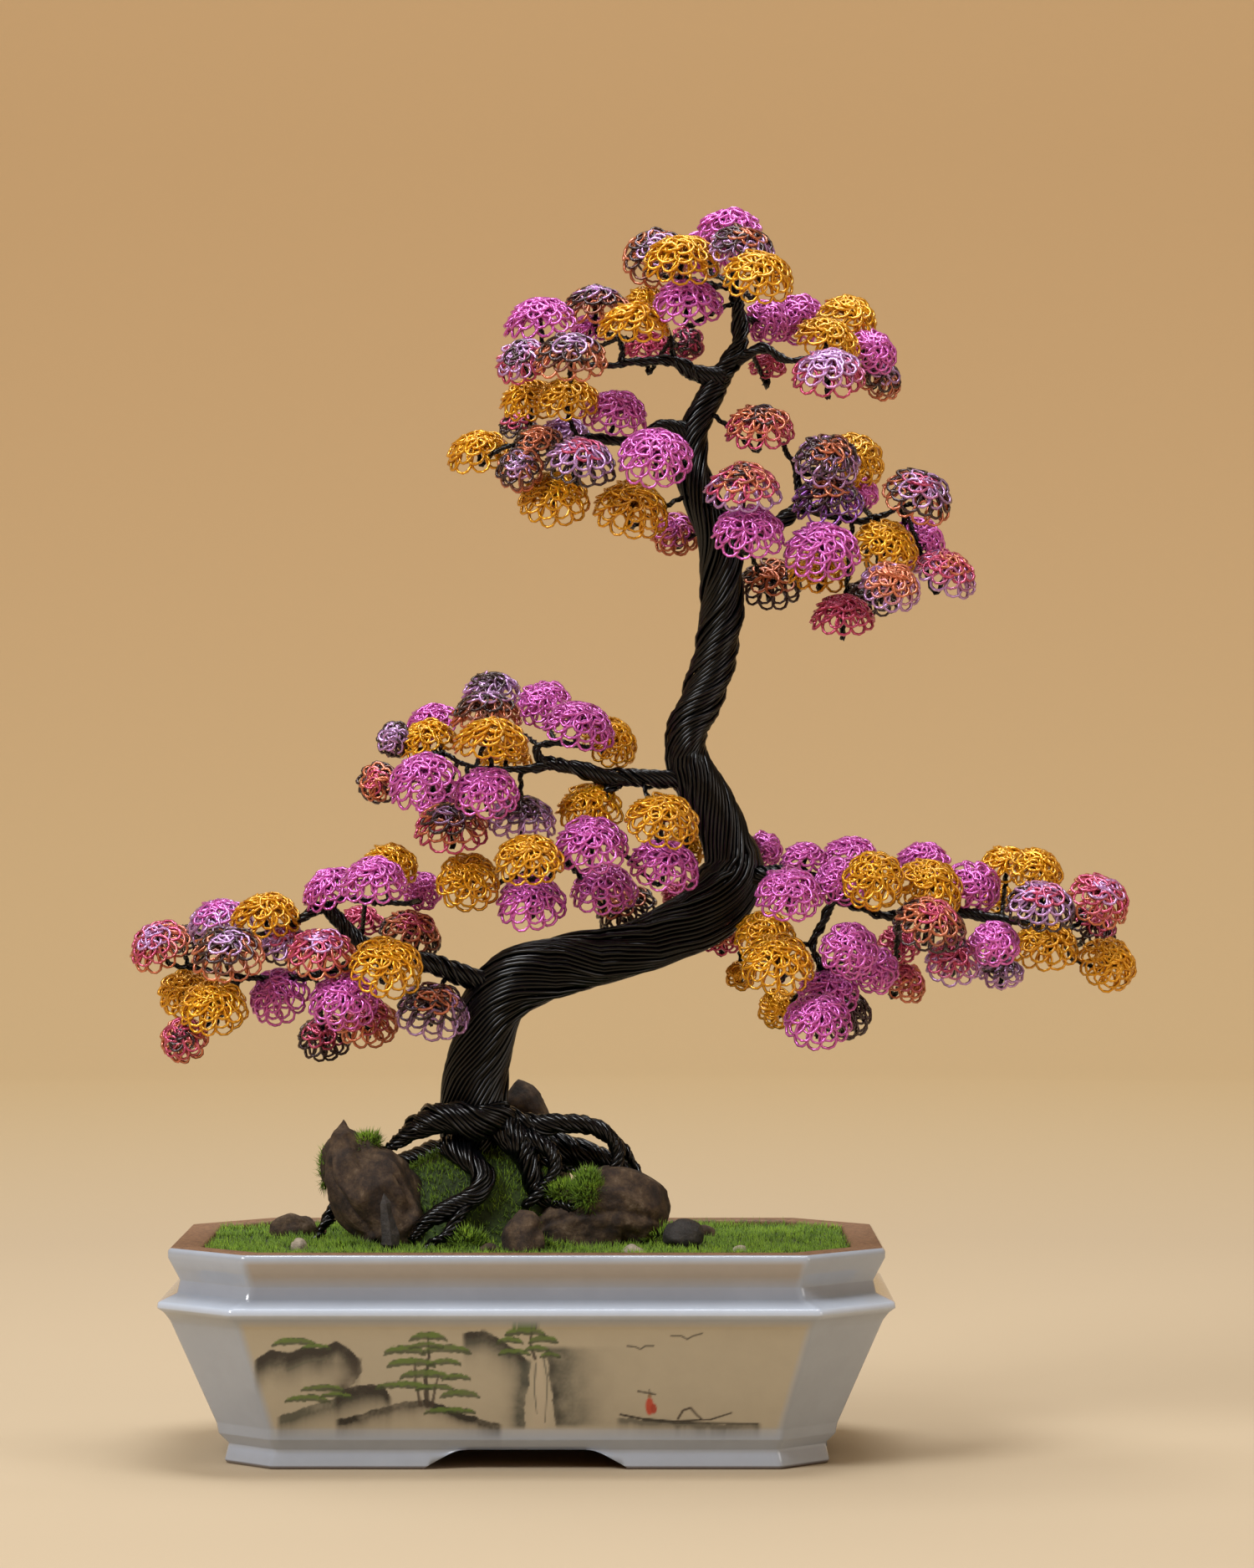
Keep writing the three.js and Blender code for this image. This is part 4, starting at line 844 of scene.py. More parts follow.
def build_stem(shapes, carrier_lines, dome, seed):
    """Twig of three twisted wires from the nearest place on the carrier, along it for a
    little and then up into the pad."""
    seat = dome.base + 0.2 * dome.height * dome.axis
    lines = np.concatenate(carrier_lines)
    nearest = lines[np.argmin(np.linalg.norm(lines[:, :3] - seat, axis=1))]
    start = nearest[:3]
    under = seat - dome.axis * min(9.0, 0.45 * np.linalg.norm(seat - start))
    route = smooth_path(np.stack([start, 0.45 * start + 0.55 * under, under, seat]), 2.0)
    side, other = sides_of(route, (0.3, 0.8, 0.5))
    for k in range(3):
        turn = length_along(route) / 2.1 + 2 * np.pi * k / 3 + seed
        out = swing(turn[:, None], side, other)
        tube(shapes, route + 0.66 * out, out, 0.58, 3)


def build_foliage():
    """Every pad is a piece of its own; each pad of a spray hides that spray's solid, filler pads none."""
    domes, nodes = [], []
    for node, (carrier, pads) in SPRAYS.items():
        for i, pad in enumerate(pads):
            domes.append(dome_of(f"{node.replace('spray', 'pad')}_{i + 1}", carrier, pad))
            nodes.append(node)
    domes = spread_in_depth(domes)
    for i, (carrier, pad) in enumerate(FILLERS):
        domes.append(dome_of(f"pad_filler_{i + 1}", carrier, pad))
        nodes.append(None)
    lines = {name: [spots_along(rope) for rope in ropes] for name, ropes in BRANCHES.items()}
    lines["trunk"] = [spots_along(TRUNK[16:])]
    twigs = Bin()
    slots = {"G": "gold_wire", "O": "orchid_wire"}
    for i, (dome, node) in enumerate(zip(domes, nodes)):
        piece = build_pad(dome, 300 + i)
        finished(piece, slots.get(dome.pad.wire, "variegated_wire"), *([node] if node else []))
        build_stem(twigs, lines[dome.carrier], dome, i)
    finished(twigs.mesh("twigs", BLACK_WIRE), "black_wire")


# Pot

SOIL_TOP = RIM_TOP - 2.0
# How much less the pot measures along Y than along X, at every height
DEPTH_LESS = 103.5
RIM_WIDTH, RIM_FLAT = 261.5, 12.0
# Profile of the pot from the inside of its floor, out over the rim, down to the foot and
# back under it: height, width across X, cut of the corners.
POT_PROFILE = [
    (15.0, 60.0, 4.0), (15.0, 205.0, 12.0), (50.0, 240.0, 20.0), (62.0, 237.5, 22.0), (78.9, 237.5, 22.0),
    (79.5, 238.7, 22.2), (79.5, 259.5, 28.6), (78.6, 261.5, 29.0), (76.0, 261.6, 29.0), (67.6, 253.0, 27.0),
    (63.0, 255.0, 27.0), (60.2, 268.0, 28.0), (58.0, 268.6, 28.0), (55.9, 263.0, 27.0), (53.2, 259.6, 26.5),
    (14.2, 227.0, 20.5), (10.9, 226.0, 20.0), (9.0, 222.0, 19.0), (7.1, 218.7, 18.0), (1.3, 221.5, 18.0),
    (0.0, 220.4, 18.0), (0.0, 203.0, 13.0), (7.3, 202.0, 12.7), (7.3, 60.0, 4.0)]
FOOT_GAP = 7.1
# The painted panel is ruled finely, so that brush strokes show: rows half a millimetre
# apart, and the most columns on the front face. The counts of columns go round from the cut
# at the front right, the front face last.
PANEL_LOW, PANEL_HIGH = 15.0, 52.6
PANEL_STEP = 0.5
POT_COLUMNS = [3, 14, 3, 44, 3, 14, 3, 384]
BED_COLUMNS, BED_RINGS = [8, 24, 8, 40, 8, 24, 8, 40], 46


def compass(angle):
    """Level direction at an angle from +X."""
    return np.stack([np.cos(angle), np.sin(angle)], -1)


def octagon(width, cut, counts, fillet=3.0):
    """Outline of a rectangle with cut corners, seen from above, counter-clockwise from the
    front face: each corner is an arc of 45 degrees and each side has its own number of
    points. Works on whole columns of widths and cuts at once."""
    half_w, half_d = width / 2, (width - DEPTH_LESS) / 2
    half_d = np.maximum(half_d, 0.2 * half_w)
    cut = np.minimum(cut, 0.8 * half_d)
    quarter = [(half_w - cut, -half_d), (half_w, -half_d + cut)]
    right = quarter + [(x, -y) for x, y in quarter[::-1]]
    left = [(-x, -y) for x, y in right]
    corners = np.stack([np.stack(corner, -1) for corner in right + left], axis=1)
    parts = []
    for k in range(8):
        facing = math.radians(-90 + 45 * k)
        turns = facing + np.radians(np.linspace(0, 45, 4))
        middle = facing + math.radians(22.5)
        inward = fillet / math.cos(math.radians(22.5))
        centre = corners[:, k] - inward * compass(middle)
        arc = centre[:, None] + fillet * compass(turns)
        parts.append(arc)
        next_centre = corners[:, (k + 1) % 8] - inward * compass(middle + math.radians(45))
        start = arc[:, -1]
        stop = next_centre + fillet * compass(turns[-1])
        share = np.linspace(0, 1, counts[k] + 2)[1:-1, None]
        parts.append(start[:, None] * (1 - share) + stop[:, None] * share)
    return np.concatenate(parts, axis=1)


def arch_height(across, half_top, half_gap, height):
    """Height of the gap between two feet: level in the middle, then falling by the mean of
    a quarter ellipse and half a cosine wave."""
    past = np.clip((np.abs(across) - half_top) / (half_gap - half_top), 0, 1)
    return height * 0.5 * (np.sqrt(1 - past ** 2) + 0.5 + 0.5 * np.cos(np.pi * past))


def profile_rows():
    """The profile resampled along its length with its corners rounded by a running mean,
    from under the foot up the outside and down the inside: rows lie close where it bends
    and over the painted panel, thinly elsewhere."""
    fine_step, window = 0.1, 9
    keys = np.array(POT_PROFILE)[::-1]
    reach = np.concatenate([[0], np.cumsum(np.hypot(np.diff(keys[:, 0]), np.diff(keys[:, 1]) / 2))])
    fine = np.arange(0, reach[-1], fine_step)
    dense = np.stack([np.interp(fine, reach, keys[:, k]) for k in range(3)], axis=1)
    padded = np.pad(dense, ((window, window), (0, 0)), mode="edge")
    kernel = np.ones(window) / window
    soft = np.stack([np.convolve(padded[:, k], kernel, "same")[window:-window] for k in range(3)], axis=1)
    heading = np.unwrap(np.arctan2(np.gradient(soft[:, 0]), np.gradient(soft[:, 1])))
    bend = np.abs(np.gradient(heading, fine_step))
    outside = np.arange(len(soft)) < np.argmax(soft[:, 0] > RIM_TOP - 0.2)
    panel = outside & (soft[:, 0] > PANEL_LOW) & (soft[:, 0] < PANEL_HIGH)
    spacing = 1 / np.clip(0.14 + 1.3 * bend, 0, 2.5)
    spacing = np.where(panel, np.minimum(spacing, PANEL_STEP), spacing)
    pace = np.cumsum(fine_step / spacing)
    picks = np.searchsorted(pace, np.arange(0, pace[-1]))
    picks = np.unique(np.concatenate([[0], picks, [len(soft) - 1]]))
    return soft[np.clip(picks, 0, len(soft) - 1)]


# Bands of the glaze, in heights: the edges of the panel's warm ground and of the rim band's
# painted reflection, with the width over which each fades; then the middle and width of the
# painted shade in the hollow above the ledge, of the painted highlight on the ledge, and the foot line.
PANEL_FADES = (13.5, 2.5, 56.5, 3.0)
RIM_REFLECTION_FADES = (67.0, 3.0, 77.5, 1.5)
HOLLOW_SHADE_BAND, LEDGE_HIGHLIGHT_BAND = (65.0, 2.6), (59.2, 1.7)
FOOT_LINE, FOOT_FADE = 1.4, 0.7


def between(height, low, low_fade, high, high_fade):
    """1 between two heights, falling evenly to 0 at them."""
    return np.clip((height - low) / low_fade, 0, 1) * np.clip((high - height) / high_fade, 0, 1)


def pot_colour(points, edge):
    """Glaze: pale blue-grey. Over the painted panel it is warm beige: the painting's own ground,
    and partly a painted reflection of the warm floor. On the rim's band it is warm grey, a painted
    reflection of the warm floor. Both reach to the edge of the front face. A painted shade darkens
    the hollow above the ledge, more on the front face, and a painted highlight lightens the
    ledge, each by exp(-(height off the middle / width) squared). The glaze breaks to a thin brown
    line along the foot."""
    height = points[..., 2]
    cloud = (0.93 + 0.12 * (0.5 + 0.5 * noise(points, 22.0, 3)))[..., None]
    face = np.clip((edge - np.abs(points[..., 0] - POT_X)) / 3, 0, 1) * (points[..., 1] < POT_Y - 50)
    panel = between(height, *PANEL_FADES) * face
    # Warm beige over the panel: the painting's ground, partly a painted reflection of the warm floor
    glaze = ink(np.broadcast_to(linear("#a2abb9"), points.shape) * cloud, panel, "#b0a793")
    # Warm grey band of the rim, on the front face only: painted reflection of the warm floor
    glaze = ink(glaze, between(height, *RIM_REFLECTION_FADES) * face, "#978a78", 0.8)
    hollow_shade, ledge = [np.exp(-((height - middle) / width) ** 2) for middle, width in (HOLLOW_SHADE_BAND, LEDGE_HIGHLIGHT_BAND)]
    # Painted shade darkens the hollow above the ledge, more on the front face
    glaze = ink(glaze, hollow_shade, "#5c616e", 0.35 + 0.45 * face[..., None])
    # Painted highlight along the ledge
    glaze = ink(glaze, ledge, "#c6d2e4", 0.8)
    return ink(glaze, np.clip((FOOT_LINE - height) / FOOT_FADE, 0, 1), "#4a2f22", 0.9)


def ink(colour, mask, code, strength=1.0):
    """Lays a paint over the colours where a mask is up."""
    amount = np.clip(mask, 0, 1)[..., None] * strength
    return colour * (1 - amount) + linear(code) * amount


def ridge_mask(px, py, crest, fade, seed, rough=1.3):
    """Wet wash under a crest line: full along the line and fading below it by 2.6 exp(-depth
    / fade); the line is straight between its points, roughened by noise, its ends soft."""
    crest = np.asarray(crest, float)
    spot = level_spot(px, np.zeros_like(px))
    line = np.interp(px, crest[:, 0], crest[:, 1])
    line = line + rough * noise(spot, 9.0, seed) + 0.6 * rough * noise(spot, 3.0, seed + 1)
    depth = py - line
    ends = np.clip((px - crest[0, 0]) / 6, 0, 1) * np.clip((crest[-1, 0] - px) / 6, 0, 1)
    wash = np.minimum(2.6 * np.exp(-np.maximum(depth, 0) / fade), 1)
    return np.clip(depth / 1.2 + 0.5, 0, 1) * wash * ends


def cliff_mask(px, py, edge, fade, seed):
    """Wash to one side of an upright edge: to the right for a fade above zero, else to the
    left; the same fading as under a crest, with x and y changed over."""
    edge = np.asarray(edge, float)
    side = 1.0 if fade > 0 else -1.0
    crest = np.stack([edge[:, 1], side * edge[:, 0]], axis=1)
    return ridge_mask(py, side * px, crest, abs(fade), seed, 1.6)


def tuft_mask(px, py, x, y, wide, high, seed):
    """A tier of pine needles: arched above by 1 - u squared over its width, flat below, its
    ends drooping a little, its edges ragged."""
    spot = level_spot(px, py)
    u = (px - x) / wide
    level = y + 0.35 * high * u ** 2
    top = level - high * np.sqrt(np.clip(1 - u ** 2, 0, 1)) + 1.4 * noise(spot, 3.0, seed)
    bottom = level + 0.22 * high + 1.2 * noise(spot, 4.0, seed + 2)
    return np.clip(py - top + 0.5, 0, 1) * np.clip(bottom - py + 0.5, 0, 1) * (np.abs(u) < 1)


def stroke_mask(px, py, points, width, end_width):
    """A brush line: near enough to a chain of straight strokes, its width changing evenly
    from its first point to its last."""
    points = np.asarray(points, float)
    best = np.full(px.shape, -1e9)
    for k, (a, b) in enumerate(zip(points[:-1], points[1:])):
        along = ((px - a[0]) * (b[0] - a[0]) + (py - a[1]) * (b[1] - a[1])) / ((b - a) @ (b - a))
        along = np.clip(along, 0, 1)
        away = np.hypot(px - a[0] - along * (b[0] - a[0]), py - a[1] - along * (b[1] - a[1]))
        half = 0.5 * (width + (end_width - width) * (k + along) / (len(points) - 1))
        best = np.maximum(best, half - away)
    return np.clip(best + 0.6, 0, 1)


# The waterfall, in pixels: its middle line, its head and foot, half its width at the head
FALL_MIDDLE, FALL_HEAD, FALL_FOOT, FALL_HALF = 646, 1622, 1709, 4


def landscape(points, colour):
    """Ink and wash landscape of the old kind on the front panel: crags and pines at the
    left, a waterfall in the middle, a boat with a figure at the right, two birds. Strokes
    are laid in the pixels of the front view. The brush runs dry and wet by two noises."""
    scale = scale_at(points[..., 1] - POT_Y)
    px = MIDDLE_X + (points[..., 0] - POT_X - EYE_ACROSS) / scale
    py = MIDDLE_Y + (EYE_HEIGHT - points[..., 2]) / scale
    flat = level_spot(px, py)
    brush = 0.76 + 0.26 * noise(flat, 14.0, 8) + 0.07 * noise(flat, 2.5, 12)
    wet = np.minimum(1.3 * brush, 1)
    for i, (crest, fade, code, strength) in enumerate(WASHES):
        colour = ink(colour, ridge_mask(px, py, crest, fade, 31 + 3 * i) * wet, code, strength)
    for i, (edge, fade, code, strength) in enumerate(CLIFFS):
        colour = ink(colour, cliff_mask(px, py, edge, fade, 71 + 3 * i) * brush, code, strength)
    half = FALL_HALF + 0.14 * (py - FALL_HEAD + 2)
    fall = np.clip(1 - np.abs(px - FALL_MIDDLE - 2 * np.sin(py / 11)) / half, 0, 1)
    fall = 1.6 * fall * (py > FALL_HEAD) * np.clip((FALL_FOOT - py) / 3, 0, 1)
    colour = ink(colour, fall, "#b9ae9a", 0.8)
    for line, width, end_width, code, strength in LINES:
        stroke = stroke_mask(px, py, line, width, end_width)
        colour = ink(colour, stroke * (0.8 + 0.3 * brush), code, strength)
    for x, y, wide, high in TIERS:
        tier = tuft_mask(px, py, x, y, wide, high, int(x + y))
        colour = ink(colour, tier * (0.75 + 0.25 * brush), "#2c3a1b", 0.92)
        sunlit = tuft_mask(px, py, x, y - 0.35 * high, 0.9 * wide, 0.6 * high, int(x))
        colour = ink(colour, sunlit * brush, "#5d7a2c", 0.85)
    for x, y, wide, high, code in DABS:
        away = np.hypot((px - x) / wide, (py - y) / high)
        colour = ink(colour, np.clip((1 - away) * 4, 0, 1), code, 0.95)
    return colour


# The painting, in the pixels of the front view: crest or edge, fade, colour and strength of
# each wash; each brush line with its widths; tiers of needles; dabs with their half sizes.
FAR_CREST = [
    (303, 1627), (322, 1614), (344, 1617), (366, 1609), (384, 1612), (402, 1604), (418, 1613), (432, 1628)]
PEAK_CREST = [(552, 1594), (580, 1591), (600, 1603), (616, 1613), (634, 1628)]
FALL_BANK = [(652, 1608), (657, 1640), (661, 1670), (665, 1708)]
WASHES = [
    (FAR_CREST, 15, "#3b3d34", 0.9),
    (FAR_CREST, 9, "#1a1210", 1.0),
    ([(330, 1694), (372, 1681), (410, 1668), (440, 1656), (458, 1657), (468, 1672)], 10, "#3c4036", 0.9),
    ([(398, 1672), (412, 1660), (430, 1655), (456, 1656), (470, 1672)], 10, "#1d1714", 1.0),
    ([(400, 1698), (440, 1688), (476, 1677), (510, 1673), (545, 1687), (602, 1704)], 7, "#1c1a16", 1.0),
    (PEAK_CREST, 13, "#3c413a", 0.9),
    (PEAK_CREST, 6, "#1c1815", 1.0),
    ([(736, 1694), (800, 1699), (850, 1702), (912, 1703)], 5, "#3b3c36", 0.75)]
CLIFFS = [
    ([(432, 1622), (433, 1640), (424, 1654), (408, 1670)], -11, "#2a201b", 0.95),
    ([(634, 1624), (633, 1650), (628, 1680), (629, 1710)], -9, "#3a3f39", 0.95),
    (FALL_BANK, 24, "#3a3f39", 0.95),
    (FALL_BANK, 6, "#22231f", 0.9)]
LINES = [
    ([(511, 1680), (509, 1650), (513, 1622), (512, 1598)], 6, 2, "#2b211b", 0.95),
    ([(503, 1680), (497, 1650), (496, 1626)], 4, 2, "#33271f", 0.85),
    ([(517, 1680), (520, 1662), (524, 1646)], 4, 2, "#33271f", 0.85),
    ([(640, 1624), (634, 1606), (636, 1592)], 4, 2, "#2b211b", 0.9),
    ([(641, 1630), (639, 1660), (642, 1690)], 2, 1, "#4c4f48", 0.8),
    ([(650, 1622), (655, 1650), (652, 1700)], 2, 1, "#4c4f48", 0.8),
    ([(344, 1638), (372, 1626), (398, 1624)], 3, 1, "#57594c", 0.6),
    ([(742, 1691), (768, 1696), (806, 1699), (850, 1697), (875, 1689)], 2.4, 1.6, "#231c18", 1.0),
    ([(770, 1697), (812, 1701), (906, 1702)], 3.6, 2, "#2c2a25", 0.85),
    ([(811, 1696), (817, 1686), (826, 1683), (834, 1692), (840, 1697)], 2.6, 2.2, "#3c3129", 0.95),
    ([(763, 1663), (784, 1667)], 2, 2, "#2b241f", 0.9), ([(777, 1667), (777, 1661)], 2, 1, "#2b241f", 0.9),
    ([(750, 1609), (760, 1610), (766, 1613), (772, 1609), (782, 1609)], 1.6, 1.6, "#2f2c28", 0.9),
    ([(803, 1597), (815, 1597), (822, 1601), (829, 1597), (840, 1594)], 1.6, 1.6, "#2f2c28", 0.9)]
TIERS = [
    (352, 1606, 27, 7), (378, 1611, 18, 5), (386, 1661, 27, 6), (368, 1674, 28, 7), (402, 1669, 20, 5),
    (512, 1600, 23, 8), (484, 1616, 25, 8), (534, 1615, 30, 8), (510, 1610, 22, 6), (492, 1631, 30, 8),
    (532, 1630, 20, 6), (508, 1645, 30, 8), (546, 1648, 18, 6), (482, 1658, 34, 7), (520, 1660, 24, 6),
    (550, 1668, 24, 7), (538, 1688, 32, 6), (628, 1594, 25, 8), (610, 1604, 16, 6), (650, 1603, 18, 7),
    (615, 1618, 20, 6), (642, 1614, 16, 6), (658, 1621, 13, 5)]
DABS = [(777, 1681, 5.5, 12, "#b5371c"), (782, 1684, 4, 7, "#a32f18"), (777, 1669, 2.4, 2.6, "#8a6a4c")]


def build_pot():
    """The profile's rows run round the octagon; the lowest are lifted over the gaps between
    the feet. Rows under the foot and inside from the rim's flat on are bare clay."""
    rows = profile_rows()
    outline = octagon(rows[:, 1], rows[:, 2], POT_COLUMNS)
    count = outline.shape[1]
    heights = np.broadcast_to(rows[:, None, :1], outline.shape[:2] + (1,))
    points = np.concatenate([outline, heights], axis=2)
    is_long = np.abs(points[..., 1]) > np.abs(points[..., 1].min(axis=1, keepdims=True)) - 19
    front = arch_height(points[..., 0], 22.0, 36.5, FOOT_GAP) * (np.abs(points[..., 1]) > 40)
    side = arch_height(points[..., 1], 12.0, 20.0, FOOT_GAP) * (np.abs(points[..., 0]) > 80)
    lifted = np.maximum(points[..., 2], np.where(is_long, front, side))
    points[..., 2] = np.where(points[..., 2] < FOOT_GAP + 0.1, lifted, points[..., 2])
    points[..., 0] += POT_X
    points[..., 1] += POT_Y
    colours = pot_colour(points, rows[:, 1:2] / 2 - rows[:, 2:3])
    ahead = (points[..., 1] < POT_Y - 45)[..., None]
    colours = np.where(ahead, landscape(points, colours), colours)
    shell = Bin()
    faces = [grid_faces(len(points), count, columns_close=True), end_caps(len(points), count)]
    shell.put(points, faces, colours.reshape(-1, 3))
    pot = shell.mesh("pot_stoneware", GLAZE)
    bare_from = np.argmax(rows[:, 0] > RIM_TOP - 0.25)
    glazed_from = np.flatnonzero((rows[:, 0] < 0.4) & (np.arange(len(rows)) < bare_from))[-1]
    row_of = np.concatenate([np.repeat(np.arange(len(rows) - 1), count), [0, len(rows)]])
    is_bare = (row_of >= bare_from) | (row_of < glazed_from)
    pot.data.materials.append(CLAY)
    pot.data.polygons.foreach_set("material_index", is_bare.astype(np.int32))
    return finished(pot, "pot_glaze", "pot")


# Moss, rocks and stones

HEAP_MIDDLE = place(575, 1500, 4)
HEAP_HALF = (38.0, 27.0, 37.0)
# Cut of the mouth's corners, and the box in which moss fibres are drawn, as half sizes
MOUTH_CUT = 22.0
BED_HALF_X, BED_HALF_Y = 119, 67
FIBRES, HEAP_FIBRES = 25000, 5200


def inside_octagon(x, y, inset):
    """True inside the pot's mouth, drawn in by an inset."""
    half_w = RIM_WIDTH / 2 - RIM_FLAT - inset
    half_d = half_w - DEPTH_LESS / 2
    dx, dy = np.abs(x - POT_X), np.abs(y - POT_Y)
    return (dx < half_w) & (dy < half_d) & (dx + dy < half_w + half_d - MOUTH_CUT)


def soil_height(x, y):
    """Height of the moss bed: nearly flat, bumpy, with the heap under the roots."""
    spot = level_spot(x, y)
    flat = SOIL_TOP - 0.3 + 0.9 * noise(spot, 14.0, 5) + 0.5 * noise(spot, 5.0, 6)
    inner = 1 - ((x - HEAP_MIDDLE[0]) / HEAP_HALF[0]) ** 2 - ((y - HEAP_MIDDLE[1]) / HEAP_HALF[1]) ** 2
    heap = SOIL_TOP + HEAP_HALF[2] * np.sqrt(np.clip(inner, 0, 1)) - 1.5 + 1.2 * noise(spot, 7.0, 9)
    return np.maximum(flat, np.where(inner > 0, heap, 0))


def build_ground():
    """The bed is a polar sheet over the octagon round one middle point, closed below by a
    flat skirt."""
    mouth = np.array([RIM_WIDTH - 2 * RIM_FLAT - 1.4])
    outline = octagon(mouth, np.array([21.6]), BED_COLUMNS, 2.0)[0]
    count = len(outline)
    shares = np.linspace(0, 1, BED_RINGS + 1)[1:, None, None]
    flat = outline[None] * shares
    x, y = flat[..., 0] + POT_X, flat[..., 1] + POT_Y
    points = np.stack([x, y, soil_height(x, y)], -1)
    skirt = points[-1:] * (1, 1, 0) + (0, 0, 60.0)
    sheet = np.concatenate([skirt, points[::-1]], axis=0)
    middle = np.array([[POT_X, POT_Y, float(soil_height(np.array(POT_X), np.array(POT_Y)))]])
    last = BED_RINGS * count
    fan = np.stack([last + np.arange(count), last + (np.arange(count) + 1) % count,
                    np.full(count, len(sheet) * count)], axis=1)
    bed = Bin()
    bed.put(np.concatenate([sheet.reshape(-1, 3), middle]),
            [grid_faces(len(sheet), count, columns_close=True), fan, np.arange(count)[::-1][None, :]])
    # The bed takes the dark felt, painted shade under the fibres
    return finished(bed.mesh("moss_bed", MOSS_SHADE_FELT), "moss", "ground")


def blades(name, roots, lengths, seed, spread=0.55, width=0.55, outward=(0, 0, 1)):
    """Moss fibres: thin three-sided spikes, each leaning its own way off the outward
    direction."""
    chance = np.random.default_rng(seed)
    count = len(roots)
    lean = chance.normal(0, spread, (count, 3)) + outward
    tips = roots + unit(lean) * lengths[:, None]
    turn = chance.uniform(0, 2 * np.pi, count)[:, None] + 2 * np.pi * np.arange(3) / 3
    around = np.stack([np.cos(turn), np.sin(turn), np.full_like(turn, -0.4)], -1)
    foot = roots[:, None] + width / 2 * around
    points = np.concatenate([foot, tips[:, None]], axis=1)
    at = 4 * np.arange(count)[:, None]
    faces = np.stack([at + corner for corner in ((0, 1, 3), (1, 2, 3), (2, 0, 3), (2, 1, 0))], axis=1)
    piece = add_mesh(name, points.reshape(-1, 3), [faces.reshape(-1, 3)], MOSS)
    return finished(piece, "moss")


ROCKS = {
    "rock_left_horned": (BROWN_ROCK, "brown_rock", [
        (411, 1338, 14, -6), (412, 1356, 40, -6), (421, 1388, 70, -8), (444, 1424, 94, -10),
        (472, 1462, 78, -12), (484, 1500, 56, -14)]),
    "rock_right": (BROWN_ROCK, "brown_rock", [
        (640, 1486, 34, -12), (672, 1468, 64, -12), (712, 1452, 86, -12), (748, 1446, 84, -12),
        (776, 1462, 60, -12), (792, 1476, 24, -12)]),
    "rock_back_tall": (BROWN_ROCK, "brown_rock", [
        (620, 1290, 16, 30), (624, 1312, 40, 31), (628, 1350, 62, 32), (632, 1410, 88, 34),
        (636, 1500, 100, 36)]),
    "stone_front": (BROWN_ROCK, "brown_rock", [
        (622, 1446, 12, -44), (626, 1460, 34, -44), (628, 1482, 50, -44), (630, 1500, 50, -44)]),
    "shard_slate": (DARK_SLATE, "dark_slate", [
        (459, 1426, 6, -42), (463, 1450, 16, -42), (466, 1478, 24, -42), (466, 1500, 24, -42)]),
    "stone_flat_left": (BROWN_ROCK, "brown_rock", [
        (322, 1474, 14, 12), (340, 1470, 30, 12), (362, 1469, 30, 12), (380, 1474, 14, 12)]),
    "pebble_left": (PALE_PEBBLE, "light_pebble", [
        (348, 1494, 8, -40), (358, 1492, 19, -40), (368, 1494, 8, -40)]),
    "pebble_dark": (DARK_SLATE, "dark_slate", [
        (793, 1484, 16, -30), (806, 1478, 33, -30), (826, 1478, 33, -30), (841, 1484, 16, -30)]),
    "pebble_light_right": (PALE_PEBBLE, "light_pebble", [
        (876, 1497, 6, -42), (885, 1495, 14, -42), (894, 1497, 6, -42)]),
    "stone_flat_right": (BROWN_ROCK, "brown_rock", [
        (828, 1475, 9, 16), (842, 1473, 15, 16), (856, 1475, 9, 16)]),
    "stone_brown_small": (BROWN_ROCK, "brown_rock", [
        (574, 1497, 8, -46), (585, 1494, 16, -46), (598, 1497, 10, -46)]),
}
WHITE_PEBBLE = [(741, 1500, 10, -46), (757, 1499, 20, -46), (772, 1500, 10, -46)]
# Rings and sides of a large rock, of a small one and of the shard, whose faces are flat
LARGE_ROCK, SMALL_ROCK, SHARD = (60, 72), (18, 22), (7, 5)


